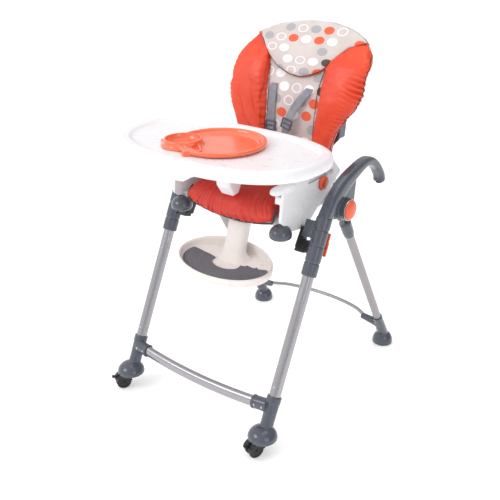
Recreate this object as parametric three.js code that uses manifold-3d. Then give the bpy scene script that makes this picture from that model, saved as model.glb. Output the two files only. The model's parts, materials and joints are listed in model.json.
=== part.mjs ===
// Folding baby high chair on an A-frame: a three.js scene graph of named, closed meshes.
// Millimetres, +Z up, +X to the chair's left-hand arm (the viewer's right), the child faces -Y.
import * as THREE from "three";
import { mergeVertices } from "three/addons/utils/BufferGeometryUtils.js";
import Module from "manifold-3d";

const wasm = await Module();
wasm.setup();

// ---------------------------------------------------------------- driving dimensions
const ORIGIN_SHIFT_Y = 12.8; // moves the hub plane so that the origin is under the middle of the box
const GAP = 0.3; // between pieces that touch
const RUNNING = 0.08; // radial clearance of a pin in its bore
const ROUND = 24; // sides of pins and bores

const LEG_X = 253; // plane of the front and rear legs
const LEG_LEAN = 0.48; // the front leg's dy for each dz
const LEG_RADIUS = 16;
const LEG_WALL = 1.6;
const LEG_SOCKET_TOP = 152; // height where the front leg leaves its foot
const LEG_SOCKET_Y = -292;
const LEG_BORE = LEG_RADIUS + 0.35;
const LEG_TOP = 640; // the leg's upper end, inside the arm

const HUB_Z = 605; // fold hinge, on the plane y = 0
const HUB_PIN_RADIUS = 6;
const TONGUE_INNER_X = 246.5;
const TONGUE_OUTER_X = 259.5;

const REAR_LEAN = 0.606; // the rear leg's dy for each -dz, measured from the hub
const REAR_RADIUS = 12.5;
const REAR_WALL = 1.4;
const REAR_FOOT_Y = 346.5;
const REAR_FOOT_RADIUS = 33.5;
const REAR_FOOT_HEIGHT = 45;

const DOME_RADIUS = 41;
const DOME_Y = -346.5;
const DOME_RIM_Z = 47.5;
const DOME_TOP_Z = 82;

const WHEEL_RADIUS = 22;
const WHEEL_WIDTH = 13;
const WHEEL_GAP = 5; // half the space between a caster's two wheels
const CASTER_TRAIL = 27;
const CASTER_STEM_RADIUS = 5;
const AXLE_RADIUS = 3;
const CASTER_HEADINGS = { right: 250, left: 240 }; // degrees about +Z, from +X

const SLEEVE_RADIUS = 21.7;
const SLEEVE_LOW_Z = 455;
const SLEEVE_HIGH_Z = 601;

const PANEL_OUTER_X = 190; // the seat shell's outer faces
const PANEL_WALL = 8;
const ARMREST_INNER_X = 164;
const SEAT_HALF_WIDTH = 150; // the seat cushion

const BUTTON_Y = 8; // tray release button
const BUTTON_Z = 661;
const BUTTON_RADIUS = 20;

const RAIL_LOW_Z = 671.5; // the level channel in each armrest that the tray's runner slides in
const RAIL_HIGH_Z = 691.5;
const TRAY_CENTRE = [0, -178, 792]; // on the rim's top plane
const TRAY_HALF_WIDTH = 302;
const TRAY_FRONT = 205;
const TRAY_BACK = 150;
const TRAY_SQUARENESS = 2.5; // exponent of the tray's rounded outline
const TRAY_RIM = 32; // depth of the skirt round the tray
const TRAY_DECK = -7; // the eating surface below the rim's top
const DISH_CENTRE = [9, -29]; // from the tray's centre
const DISH_RADIUS = 120;
const CUP_CENTRE = [-70, -87];
const CUP_RADIUS = 50;
const GRIP_CENTRE = [-13.5, -120];
const GRIP_TURN = 0.842; // radians about +Z

const FOOTREST_CENTRE = [0, -191, 450];
const FOOTREST_TILT = 0.19;
const FOOTREST_HALF_WIDTH = 157;
const FOOTREST_HALF_DEPTH = 92;
const FOOTREST_PIVOT = [0, -112, 572];
const FOOTREST_PIN_RADIUS = 4;

const RECLINE_PIVOT = [0, 132, 612];
const RECLINE_BARREL_RADIUS = 5;

// ---------------------------------------------------------------- materials
const PLASTIC_GREY = { color: 0x5a5f6c, roughness: 0.42, metalness: 0 };
const PLASTIC_WHITE = { color: 0xf3f1f4, roughness: 0.3, metalness: 0 };
const PLASTIC_CREAM = { color: 0xefe8e3, roughness: 0.38, metalness: 0 };
const PLASTIC_ORANGE = { color: 0xf07a50, roughness: 0.35, metalness: 0 };
const PLASTIC_BLACK = { color: 0x1c1c20, roughness: 0.5, metalness: 0 };
const ALUMINIUM = { color: 0xb9b4bc, roughness: 0.35, metalness: 0.9 };
const STEEL = { color: 0xc8c8cc, roughness: 0.3, metalness: 1 };
const RUBBER_GREY = { color: 0x6e6b72, roughness: 0.85, metalness: 0 };
const LEATHERETTE = { color: 0xe2553a, roughness: 0.5, metalness: 0 };
const DOTTED_CLOTH = { color: 0xd9d0cc, roughness: 0.8, metalness: 0 };
const WEBBING = { color: 0x96969e, roughness: 0.9, metalness: 0 };

// ---------------------------------------------------------------- geometry helpers
const vec = (x, y, z) => new THREE.Vector3(x, y, z);

function toSolid(geometry) {
  const bare = geometry.clone();
  bare.deleteAttribute("normal");
  bare.deleteAttribute("uv");
  const merged = mergeVertices(bare, 1e-3);
  return new wasm.Manifold(
    new wasm.Mesh({
      numProp: 3,
      vertProperties: merged.attributes.position.array,
      triVerts: new Uint32Array(merged.index.array),
    }),
  );
}

function toGeometry(solid) {
  const mesh = solid.getMesh();
  const geometry = new THREE.BufferGeometry();
  geometry.setAttribute("position", new THREE.BufferAttribute(mesh.vertProperties, 3));
  geometry.setIndex(new THREE.BufferAttribute(mesh.triVerts, 1));
  geometry.computeVertexNormals();
  return geometry;
}

function join(...pieces) {
  return toGeometry(pieces.map(toSolid).reduce((sum, next) => sum.add(next)));
}

function cut(base, ...tools) {
  return toGeometry(tools.map(toSolid).reduce((left, tool) => left.subtract(tool), toSolid(base)));
}

function common(a, b) {
  return toGeometry(toSolid(a).intersect(toSolid(b)));
}

// A box between two corners.
function block(low, high) {
  const size = high.map((h, i) => h - low[i]);
  const middle = high.map((h, i) => (h + low[i]) / 2);
  return new THREE.BoxGeometry(...size).translate(...middle);
}

// Turns geometry made along +Y, starting at 0, to lie from one point towards another.
function layAlong(geometry, from, to) {
  const turn = new THREE.Quaternion().setFromUnitVectors(
    vec(0, 1, 0),
    to.clone().sub(from).normalize(),
  );
  return geometry.applyQuaternion(turn).translate(from.x, from.y, from.z);
}

function rod(from, to, radius, sides = 18) {
  const length = from.distanceTo(to);
  const geometry = new THREE.CylinderGeometry(radius, radius, length, sides);
  return layAlong(geometry.translate(0, length / 2, 0), from, to);
}

function cone(from, to, radiusFrom, radiusTo, sides = 18) {
  const length = from.distanceTo(to);
  const geometry = new THREE.CylinderGeometry(radiusTo, radiusFrom, length, sides);
  return layAlong(geometry.translate(0, length / 2, 0), from, to);
}

// A profile of [radius, height] points turned about the line between two points.
function turned(profile, from, to, sides = 18) {
  const points = profile.map(([r, h]) => new THREE.Vector2(r, h));
  return layAlong(new THREE.LatheGeometry(points, sides), from, to);
}

// The same about a vertical axis through x, y.
function turnedUp(profile, x, y, sides = 18) {
  return turned(profile, vec(x, y, 0), vec(x, y, 1), sides);
}

function pipe(from, to, outer, inner, sides = 18) {
  const length = from.distanceTo(to);
  const ring = [
    [inner, 0],
    [outer, 0],
    [outer, length],
    [inner, length],
    [inner, 0],
  ];
  return turned(ring, from, to, sides);
}

// A closed outline of [y, z] points, as a slab between two values of x.
function sideSlab(points, x0, x1, bevel = 0) {
  const shape = new THREE.Shape(points.map(([y, z]) => new THREE.Vector2(y, z)));
  const geometry = new THREE.ExtrudeGeometry(shape, {
    depth: x1 - x0 - 2 * bevel,
    bevelEnabled: bevel > 0,
    bevelThickness: bevel,
    bevelSize: bevel,
    bevelOffset: -bevel,
    bevelSegments: 1,
  });
  const turn = new THREE.Matrix4().makeBasis(vec(0, 1, 0), vec(0, 0, 1), vec(1, 0, 0));
  return geometry.applyMatrix4(turn).translate(x0 + bevel, 0, 0);
}

// A closed outline of [x, z] points, as a slab between two values of y.
function frontSlab(points, y0, y1) {
  const shape = new THREE.Shape(points.map(([x, z]) => new THREE.Vector2(x, z)));
  const geometry = new THREE.ExtrudeGeometry(shape, { depth: y1 - y0, bevelEnabled: false });
  return geometry.rotateX(Math.PI / 2).translate(0, y1, 0);
}

// A closed outline of [x, y] points, as a slab between two heights.
function flatSlab(points, z0, z1, bevel = 0) {
  const shape = new THREE.Shape(points.map(([x, y]) => new THREE.Vector2(x, y)));
  const geometry = new THREE.ExtrudeGeometry(shape, {
    depth: z1 - z0 - 2 * bevel,
    bevelEnabled: bevel > 0,
    bevelThickness: bevel,
    bevelSize: bevel,
    bevelOffset: -bevel,
    bevelSegments: 1,
  });
  return geometry.translate(0, 0, z0 + bevel);
}

// The outline of a band of varying width about a smooth line of [y, z, halfWidth] points.
function band(line, steps) {
  const middle = new THREE.CatmullRomCurve3(line.map(([y, z, w]) => vec(y, z, w)));
  const left = [];
  const right = [];
  for (let i = 0; i <= steps; i += 1) {
    const p = middle.getPoint(i / steps);
    const t = middle.getTangent(i / steps).setZ(0).normalize();
    left.push([p.x - t.y * p.z, p.y + t.x * p.z]);
    right.push([p.x + t.y * p.z, p.y - t.x * p.z]);
  }
  return [...right, ...left.reverse()];
}

// A rounded outline, wider than deep, with its own depth before and behind the middle.
function roundedOutline(halfWidth, front, back, power, count) {
  const points = [];
  for (let i = 0; i < count; i += 1) {
    const angle = (2 * Math.PI * i) / count;
    const c = Math.cos(angle);
    const s = Math.sin(angle);
    const x = halfWidth * Math.sign(c) * Math.abs(c) ** (2 / power);
    const y = (s < 0 ? front : back) * Math.sign(s) * Math.abs(s) ** (2 / power);
    points.push([x, y]);
  }
  return points;
}

// An elliptical bar swept along a curve.
function sweptBar(curve, halfHeight, halfDepth, steps, sides = 12) {
  const section = [];
  for (let i = 0; i < sides; i += 1) {
    const angle = (2 * Math.PI * i) / sides;
    section.push(new THREE.Vector2(halfHeight * Math.cos(angle), halfDepth * Math.sin(angle)));
  }
  return new THREE.ExtrudeGeometry(new THREE.Shape(section), {
    steps,
    extrudePath: curve,
    bevelEnabled: false,
  });
}

// ---------------------------------------------------------------- reference lines
const frontLegPoint = (z) => vec(LEG_X, LEG_SOCKET_Y + LEG_LEAN * (z - LEG_SOCKET_TOP), z);
const legUp = frontLegPoint(1).sub(frontLegPoint(0)).normalize();
const hub = vec(LEG_X, 0, HUB_Z);
const rearDown = vec(0, REAR_LEAN, -1).normalize();
const rearLegPoint = (distance) => hub.clone().addScaledVector(rearDown, distance);
const rearDistance = (z) => (HUB_Z - z) / -rearDown.z;

const frontBarCurve = new THREE.QuadraticBezierCurve3(
  vec(-222, -316, 127.6),
  vec(0, -334, 111),
  vec(222, -316, 127.6),
);
const rearBarCurve = new THREE.CatmullRomCurve3([
  vec(-212, 305, 98),
  vec(-185, 322, 96),
  vec(-140, 350, 93),
  vec(-70, 370, 90),
  vec(0, 376, 89),
  vec(70, 370, 90),
  vec(140, 350, 93),
  vec(185, 322, 96),
  vec(212, 305, 98),
]);

// ---------------------------------------------------------------- scene graph
const group = new THREE.Group();
group.position.y = ORIGIN_SHIFT_Y;
const sides = {
  right: new THREE.Group(),
  left: new THREE.Group(),
};
sides.left.scale.x = -1;
group.add(sides.right, sides.left);

function addMesh(parent, name, geometry, look) {
  const mesh = new THREE.Mesh(geometry, new THREE.MeshStandardMaterial(look));
  mesh.name = name;
  parent.add(mesh);
  return mesh;
}

// Adds a piece made for the right side to both sides.
function addPair(name, geometry, look) {
  for (const side of ["right", "left"]) addMesh(sides[side], `${name}_${side}`, geometry, look);
}

// ---------------------------------------------------------------- front frame
function frontLeg() {
  return pipe(frontLegPoint(124), frontLegPoint(LEG_TOP - 1), LEG_RADIUS, LEG_RADIUS - LEG_WALL);
}

// Foot: a dome that covers the caster, a neck that holds the leg and a side socket for the crossbar.
function frontFoot() {
  const inner = DOME_RADIUS - 3.5;
  const dome = [];
  const arcSteps = 5;
  dome.push([0, DOME_TOP_Z]);
  for (let i = arcSteps - 1; i >= 0; i -= 1) {
    const angle = (i / arcSteps) * (Math.PI / 2);
    dome.push([
      DOME_RADIUS * Math.cos(angle),
      DOME_RIM_Z + 3 + (DOME_TOP_Z - DOME_RIM_Z - 3) * Math.sin(angle),
    ]);
  }
  dome.push([DOME_RADIUS - 1, DOME_RIM_Z], [inner, DOME_RIM_Z]);
  for (let i = 0; i < 3; i += 1) {
    const angle = (i / 4) * (Math.PI / 2);
    dome.push([inner * Math.cos(angle), DOME_RIM_Z + 2 + 32 * Math.sin(angle)]);
  }
  dome.push([9, 71], [9, 55], [0, 55]);
  const cap = turnedUp(dome.reverse(), LEG_X, DOME_Y);
  const neck = cone(frontLegPoint(64), frontLegPoint(LEG_SOCKET_TOP), 18.5, 20);
  const branchFrom = vec(248, -313.9, 129.5);
  const branchTo = vec(200, -317.8, 126);
  const branch = rod(branchFrom, branchTo, 18.5);
  const legBore = rod(frontLegPoint(123.6), frontLegPoint(170), LEG_BORE);
  const barBore = sweptBar(
    new THREE.LineCurve3(vec(222.4, -315.96, 127.63), vec(190, -318.6, 125.2)), 16.3, 13.3, 1, 16);
  const stemBore = rod(vec(LEG_X, DOME_Y, 50), vec(LEG_X, DOME_Y, 70), CASTER_STEM_RADIUS + RUNNING, ROUND);
  return cut(join(cap, neck, branch), legBore, barBore, stemBore);
}

// The arm over each leg: a leg socket that runs up and back into the hook, with the fold hub on it.
function armHousing() {
  const hook = band(
    [
      [-76, 602.3, 20.5],
      [-50, 652, 20.5],
      [0, 690, 19],
      [50, 711, 15.5],
      [95, 718, 13],
      [140, 710, 12],
      [182, 684, 11.5],
      [216, 640, 11],
      [221, 622, 10.5],
    ],
    13,
  );
  const web = [
    [-72, 600],
    [-30, 586],
    [-18, 574],
    [0, 569],
    [18, 573],
    [36, 584],
    [52, 606],
    [60, 677],
    [20, 692],
    [-40, 660],
  ];
  const arm = sideSlab(hook, 236, 272, 5);
  const plate = sideSlab(web, 240, 268, 2);
  const boss = rod(vec(266, 0, HUB_Z), vec(285, 0, HUB_Z), 31, 24);
  const legBore = rod(frontLegPoint(590), frontLegPoint(LEG_TOP), LEG_BORE);
  const bottom = frontLegPoint(SLEEVE_HIGH_Z + 1.2);
  const trim = rod(bottom.clone().addScaledVector(legUp, -40), bottom, 34);
  const slot = join(
    rod(vec(TONGUE_INNER_X - 0.5, 0, HUB_Z), vec(TONGUE_OUTER_X + 0.5, 0, HUB_Z), 33, 24),
    block([TONGUE_INNER_X - 0.5, -33, 540], [TONGUE_OUTER_X + 0.5, 33, HUB_Z]),
    block([TONGUE_INNER_X - 0.5, 20, 540], [TONGUE_OUTER_X + 0.5, 62, HUB_Z - 2]),
  );
  const pinBore = rod(vec(230, 0, HUB_Z), vec(274, 0, HUB_Z), HUB_PIN_RADIUS + GAP, ROUND);
  const capRecess = rod(vec(276.5, 0, HUB_Z), vec(290, 0, HUB_Z), 27.6, 24);
  return cut(join(arm, plate, boss), trim, legBore, slot, pinBore, capRecess);
}

function frontFrame() {
  addPair("front_leg", frontLeg(), ALUMINIUM);
  addPair("front_foot", frontFoot(), PLASTIC_GREY);
  addPair("arm_housing", armHousing(), PLASTIC_GREY);
  addMesh(group, "front_crossbar", sweptBar(frontBarCurve, 15.8, 12.8, 10, 16), ALUMINIUM);
  const pin = rod(vec(238, 0, HUB_Z), vec(273.5, 0, HUB_Z), HUB_PIN_RADIUS, ROUND);
  addPair("hub_pin", pin, STEEL);
  const fold = turned([[0, 0], [27, 0], [27, 7], [24, 11.5], [14, 14], [0, 15]],
    vec(281.2, 0, HUB_Z), vec(300, 0, HUB_Z), 22);
  addPair("fold_button", fold, PLASTIC_ORANGE);
}

// ---------------------------------------------------------------- casters
function caster(side) {
  const holder = new THREE.Group();
  const mirror = side === "left" ? -1 : 1;
  holder.position.set(mirror * LEG_X, DOME_Y, 0);
  holder.rotation.z = THREE.MathUtils.degToRad(CASTER_HEADINGS[side]);
  group.add(holder);
  const axle = [CASTER_TRAIL, 0, WHEEL_RADIUS];
  const stem = rod(vec(0, 0, 38), vec(0, 0, 68), CASTER_STEM_RADIUS, 16);
  const head = rod(vec(0, 0, 41), vec(0, 0, 53), 12, 20);
  const keel = join(
    block([0, -4, 18], [26, 4, 46]),
    rod(vec(axle[0], -4, axle[2]), vec(axle[0], 4, axle[2]), 9, 20),
    rod(vec(axle[0], -17.5, axle[2]), vec(axle[0], 17.5, axle[2]), AXLE_RADIUS, 16),
  );
  const hood = cut(
    rod(vec(axle[0], -19, axle[2]), vec(axle[0], 19, axle[2]), WHEEL_RADIUS + 3, 18),
    rod(vec(axle[0], -17, axle[2]), vec(axle[0], -4, axle[2]), WHEEL_RADIUS + 1.5, 18),
    rod(vec(axle[0], 4, axle[2]), vec(axle[0], 17, axle[2]), WHEEL_RADIUS + 1.5, 18),
    rod(vec(axle[0], -21, axle[2]), vec(axle[0], -16, axle[2]), WHEEL_RADIUS - 4, 16),
    rod(vec(axle[0], 16, axle[2]), vec(axle[0], 21, axle[2]), WHEEL_RADIUS - 4, 16),
    block([-20, -30, -20], [70, 30, 25]),
    block([34, -4.6, 0], [70, 4.6, 60]),
    block([axle[0] - 9, -3.6, 10], [axle[0] + 9, 3.6, 34]),
  );
  addMesh(holder, `caster_fork_${side}`, join(stem, head, keel, hood), PLASTIC_BLACK);
  for (const [place, way] of [["inner", 1], ["outer", -1]]) {
    const bore = AXLE_RADIUS + RUNNING;
    const profile = [[bore, 0], [WHEEL_RADIUS - 3, 0], [WHEEL_RADIUS, 2], [WHEEL_RADIUS, 9.4],
      [WHEEL_RADIUS - 3, 11.4], [8, 10], [bore, 10], [bore, 0]];
    const wheel = turned(profile, vec(axle[0], way * WHEEL_GAP, axle[2]),
      vec(axle[0], way * (WHEEL_GAP + WHEEL_WIDTH), axle[2]), 18);
    addMesh(holder, `caster_wheel_${place}_${side}`, wheel, PLASTIC_BLACK);
  }
  const lever = join(
    block([37, -3.8, 39.5], [58, 3.8, 43.5]),
    block([36, -3.8, 32], [41, 3.8, 43.5]),
    rod(vec(57, -3.8, 42), vec(57, 3.8, 42), 4.2, 14),
  );
  addMesh(holder, `brake_lever_${side}`, lever, PLASTIC_BLACK);
}

// ---------------------------------------------------------------- rear frame
function rearSocket() {
  const shoulder = rearLegPoint(58);
  const tip = rearLegPoint(122);
  const tongue = join(
    rod(vec(TONGUE_INNER_X, 0, HUB_Z), vec(TONGUE_OUTER_X, 0, HUB_Z), 29, 24),
    layAlong(block([-6.5, 0, -15], [6.5, 66, 15]), hub, rearLegPoint(66)),
  );
  const tube = cone(shoulder, tip, 17, 15.2);
  const bore = rod(rearLegPoint(72), rearLegPoint(130), REAR_RADIUS + GAP);
  const pinBore = rod(vec(240, 0, HUB_Z), vec(270, 0, HUB_Z), HUB_PIN_RADIUS + RUNNING, ROUND);
  return cut(join(tongue, tube), bore, pinBore);
}

function rearFoot() {
  const profile = [[0, 0], [REAR_FOOT_RADIUS - 2, 0], [REAR_FOOT_RADIUS, 2.5]];
  const arcSteps = 4;
  for (let i = 0; i <= arcSteps; i += 1) {
    const angle = (i / arcSteps) * (Math.PI / 2);
    const r = REAR_FOOT_RADIUS * Math.cos(angle);
    profile.push([Math.abs(r) < 1e-6 ? 0 : r, 8 + (REAR_FOOT_HEIGHT - 8) * Math.sin(angle)]);
  }
  const dome = turnedUp(profile, LEG_X, REAR_FOOT_Y);
  const neck = cone(rearLegPoint(rearDistance(34)), rearLegPoint(rearDistance(126)), 18, 16);
  const branch = cone(vec(LEG_X, 306, 92), vec(188, 309, 98), 14, 10, 20);
  const bore = rod(rearLegPoint(rearDistance(96)), rearLegPoint(rearDistance(140)), REAR_RADIUS + GAP);
  const barBore = sweptBar(rearBarCurve, 6.5, 6.5, 24, 8);
  return cut(join(dome, neck, branch), bore, barBore);
}

function rearFrame() {
  const leg = pipe(rearLegPoint(72.4), rearLegPoint(rearDistance(96.6)), REAR_RADIUS,
    REAR_RADIUS - REAR_WALL, 20);
  addPair("rear_leg", leg, ALUMINIUM);
  addPair("rear_socket", rearSocket(), PLASTIC_GREY);
  addPair("rear_foot", rearFoot(), PLASTIC_GREY);
  addMesh(group, "rear_crossbar", sweptBar(rearBarCurve, 6, 6, 24, 8), ALUMINIUM);
}

// ---------------------------------------------------------------- height adjusters
function heightSleeve() {
  const length = (SLEEVE_HIGH_Z - SLEEVE_LOW_Z) / legUp.z;
  const groove = (h) => [
    [SLEEVE_RADIUS, h - 2.5],
    [SLEEVE_RADIUS - 1.8, h],
    [SLEEVE_RADIUS, h + 2.5],
  ];
  const inner = LEG_RADIUS + 0.5;
  const profile = [
    [inner, 0],
    [SLEEVE_RADIUS - 2, 0],
    [SLEEVE_RADIUS, 3],
    ...groove(38),
    ...groove(84),
    ...groove(128),
    [SLEEVE_RADIUS, length - 2],
    [SLEEVE_RADIUS - 2, length],
    [inner, length],
    [inner, 0],
  ];
  const sleeve = turned(profile, frontLegPoint(SLEEVE_LOW_Z), frontLegPoint(SLEEVE_HIGH_Z));
  const ear = layAlong(block([-44.7, 100, -14], [-12, 148, 18]), frontLegPoint(SLEEVE_LOW_Z),
    frontLegPoint(SLEEVE_HIGH_Z));
  const leverSeat = layAlong(block([-6, 106, -25.5], [6, 110, -16]), frontLegPoint(SLEEVE_LOW_Z),
    frontLegPoint(SLEEVE_HIGH_Z));
  const leg = rod(frontLegPoint(SLEEVE_LOW_Z - 30), frontLegPoint(SLEEVE_HIGH_Z + 30), inner);
  return cut(join(sleeve, ear, leverSeat), leg);
}

function seatBracket() {
  const slab = layAlong(block([-56, 58, -14], [-28, 99.6, 16]), frontLegPoint(SLEEVE_LOW_Z),
    frontLegPoint(SLEEVE_HIGH_Z));
  const tab = layAlong(block([-62.6, 70, -14], [-45, 140, 8]), frontLegPoint(SLEEVE_LOW_Z),
    frontLegPoint(SLEEVE_HIGH_Z));
  return join(slab, tab);
}

function heightLever() {
  const blade = layAlong(
    join(
      block([-7, 96, -31], [7, 122, -26.3]),
      block([-7, 58, -34], [7, 98, -28]),
      rod(vec(-7, 118, -28), vec(7, 118, -28), 3.5, 12),
    ),
    frontLegPoint(SLEEVE_LOW_Z),
    frontLegPoint(SLEEVE_HIGH_Z),
  );
  return blade;
}

// ---------------------------------------------------------------- seat
const panelOutline = [
  [-190, 606],
  [-134, 562],
  [-68, 551],
  [-45, 566],
  [12, 606],
  [104, 664],
  [106, 672],
  [62, 716],
  [50, 720],
  [-168, 706],
  [-180, 690],
];

function bumperProfile(grow) {
  const r = 31 + grow;
  const profile = [[0, 553], [24, 553], [29.5 + grow, 557]];
  for (let i = 0; i <= 4; i += 1) {
    const angle = (i / 4) * (Math.PI / 2);
    const reach = i === 4 ? 0 : r * Math.cos(angle);
    profile.push([reach, 564 + (27 + grow) * Math.sin(angle)]);
  }
  return profile;
}

const bumperTools = () => [-1, 1].map((way) => turnedUp(bumperProfile(0.5), way * 175, -168, 18));

// White bucket: two side panels with armrest channels, joined by the pan, lips and back wall.
function seatShell() {
  const panel = (way) => {
    const slab = sideSlab(panelOutline, ARMREST_INNER_X, PANEL_OUTER_X, 3);
    const belowArmrest = sideSlab(
      [[-230, 500], [130, 500], [130, 652], [90, 652], [-175, 652], [-230, 652]],
      ARMREST_INNER_X - 10, PANEL_OUTER_X - PANEL_WALL);
    const channel = block([ARMREST_INNER_X + 4, -230, RAIL_LOW_Z], [184, 40, RAIL_HIGH_Z]);
    const window = block([180, -62, RAIL_LOW_Z + 3], [200, 62, RAIL_HIGH_Z - 4]);
    const knob = rod(vec(185.6, BUTTON_Y, BUTTON_Z), vec(200, BUTTON_Y, BUTTON_Z), BUTTON_RADIUS + 0.8);
    const screw = rod(vec(186, -35, 621), vec(200, -35, 621), 2.6, 10);
    const side = cut(slab, belowArmrest, channel, window, knob, screw);
    return way > 0 ? side : flipX(side);
  };
  const inner = PANEL_OUTER_X - PANEL_WALL;
  const pan = block([-inner - 2, -150, 590], [inner + 2, 112, 597]);
  const lip = block([-ARMREST_INNER_X + 10, -150, 572], [ARMREST_INNER_X - 10, -144, 597]);
  const backWall = block([-70, 108, 590], [70, 114, 606]);
  const ears = [-1, 1].map((way) => sideSlab(
    [[96, 590], [150, 596], [150, 622], [138, 630], [122, 626], [112, 606], [96, 597]],
    way > 0 ? 146 : -154, way > 0 ? 154 : -146));
  const earBridge = [-1, 1].map((way) => block(
    way > 0 ? [140, 92, 590] : [-184, 92, 590], way > 0 ? [184, 112, 597] : [-140, 112, 597]));
  const stemBracket = [-1, 1].map((way) => block(
    way > 0 ? [22, -132, 563] : [-30, -132, 563], way > 0 ? [30, -92, 592] : [-22, -92, 592]));
  const pinHole = rod(vec(-40, FOOTREST_PIVOT[1], FOOTREST_PIVOT[2]),
    vec(40, FOOTREST_PIVOT[1], FOOTREST_PIVOT[2]), FOOTREST_PIN_RADIUS + GAP, ROUND);
  const hingeHole = rod(vec(-160, RECLINE_PIVOT[1], RECLINE_PIVOT[2]),
    vec(160, RECLINE_PIVOT[1], RECLINE_PIVOT[2]), RECLINE_BARREL_RADIUS + RUNNING, ROUND);
  return cut(
    join(panel(1), panel(-1), pan, lip, backWall, ...ears, ...earBridge, ...stemBracket),
    pinHole, hingeHole, ...bumperTools());
}

function flipX(geometry) {
  const flipped = geometry.clone().scale(-1, 1, 1);
  const order = flipped.index.array;
  for (let i = 0; i < order.length; i += 3) {
    [order[i + 1], order[i + 2]] = [order[i + 2], order[i + 1]];
  }
  return flipped;
}

function seatPad() {
  const profile = [
    [92, 605],
    [92, 632],
    [80, 640],
    [-110, 640],
    [-150, 633],
    [-172, 616],
    [-176, 594],
    [-170, 574],
    [-160, 568],
    [-153, 575],
    [-151, 598],
    [-140, 600],
  ];
  const cushion = sideSlab(profile, -SEAT_HALF_WIDTH, SEAT_HALF_WIDTH, 4);
  return cut(cushion, ...bumperTools());
}

function seat() {
  addPair("height_sleeve", heightSleeve(), PLASTIC_GREY);
  addPair("seat_bracket", seatBracket(), PLASTIC_BLACK);
  addPair("height_lever", heightLever(), PLASTIC_ORANGE);
  addMesh(group, "seat_shell", seatShell(), PLASTIC_WHITE);
  addMesh(group, "seat_pad", seatPad(), LEATHERETTE);
  addPair("seat_bumper", turnedUp(bumperProfile(0), 175, -168, 18), PLASTIC_GREY);
  const knob = turned([[0, 0], [BUTTON_RADIUS, 0], [BUTTON_RADIUS, 8], [18, 11], [0, 13]],
    vec(189.8, BUTTON_Y, BUTTON_Z), vec(200, BUTTON_Y, BUTTON_Z), 20);
  addPair("tray_button", knob, PLASTIC_ORANGE);
}

// ---------------------------------------------------------------- backrest
const backLine = [
  [112, 634],
  [112, 680],
  [116, 742],
  [122, 820],
  [133, 880],
  [152, 925],
  [174, 968],
  [199, 1010],
  [222, 1048],
];
const backHalfWidths = [
  [142, 630],
  [144, 652],
  [152, 722],
  [172, 745],
  [181, 776],
  [190, 810],
  [203, 836],
  [221, 860],
  [227, 884],
  [229, 938],
  [222, 960],
  [209, 980],
  [186, 1000],
  [144, 1022],
  [90, 1040],
  [40, 1048.5],
];

// A slab that follows the back's curve, between two depths behind its front surface.
function backSlab(near, far) {
  const curve = new THREE.CatmullRomCurve3(backLine.map(([y, z]) => vec(0, y, z)));
  const front = [];
  const rear = [];
  const steps = 12;
  for (let i = 0; i <= steps; i += 1) {
    const p = curve.getPoint(i / steps);
    const t = curve.getTangent(i / steps);
    front.push([p.y + near * t.z, p.z - near * t.y]);
    rear.push([p.y + far * t.z, p.z - far * t.y]);
  }
  return sideSlab([...rear, ...front.reverse()], -260, 260);
}

function backOutline(inset, widths = backHalfWidths) {
  const right = widths.map(([x, z]) => [x - inset, z - (z > 1000 ? inset : 0)]);
  const left = [...right].reverse().map(([x, z]) => [-x, z]);
  return [...right, ...left];
}

function backPad() {
  const body = common(backSlab(0, 15), frontSlab(backOutline(0), 40, 330));
  const rear = common(backSlab(14, 28), frontSlab(backOutline(13), 40, 330));
  const wing = (way) => {
    const outline = backHalfWidths
      .filter(([, z]) => z > 730 && z < 1005)
      .map(([x, z]) => [way * x, z]);
    const inside = [[way * 158, 1000], [way * 108, 944], [way * 88, 860], [way * 82, 745]];
    const ring = [...outline, ...inside];
    return common(backSlab(-28, 14), frontSlab(way > 0 ? ring : ring.reverse(), 20, 330));
  };
  return join(body, rear, wing(1), wing(-1));
}

function backShell() {
  const widths = backHalfWidths.filter(([, z]) => z > 600);
  const skin = common(backSlab(28.5, 35), frontSlab(backOutline(16, widths), 40, 330));
  const rib = (way) => {
    const edge = backHalfWidths.filter(([, z]) => z > 735 && z < 930);
    const outer = edge.map(([x, z]) => [way * (x - 16), z]);
    const inner = [...edge].reverse().map(([x, z]) => [way * (x - 26), z]);
    const ring = [...outer, ...inner];
    return common(backSlab(28.5, 62), frontSlab(way > 0 ? ring : ring.reverse(), 20, 360));
  };
  const knuckle = (way) => sideSlab(
    [[141, 630], [141, 652], [150, 652], [152, 620], [142, 602], [124, 602], [122, 616], [134, 622]],
    way > 0 ? 112 : -126, way > 0 ? 126 : -112);
  const barrel = rod(vec(-153.5, RECLINE_PIVOT[1], RECLINE_PIVOT[2]),
    vec(153.5, RECLINE_PIVOT[1], RECLINE_PIVOT[2]), RECLINE_BARREL_RADIUS, ROUND);
  const latchHousing = block([-38, 163, 822], [38, 178, 866]);
  return join(skin, rib(1), rib(-1), knuckle(1), knuckle(-1), barrel, latchHousing);
}

function headrestPad() {
  const outline = [
    [0, 900],
    [40, 905],
    [74, 922],
    [98, 946],
    [118, 968],
    [154, 997],
    [134, 1017],
    [78, 1036],
    [0, 1044],
  ];
  const mirrored = [...outline].slice(1, -1).reverse().map(([x, z]) => [-x, z]);
  return common(backSlab(-17, -0.5), frontSlab([...outline, ...mirrored], 40, 330));
}

// The strap on the -X side hangs straight down the back.
function straightStrap() {
  const line = [
    [108.5, 652],
    [109, 690],
    [112, 742],
    [117.5, 820],
    [127, 872],
  ];
  return sideSlab(band(line.map(([y, z]) => [y, z, 1.1]), 10), -73, -48);
}

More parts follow.
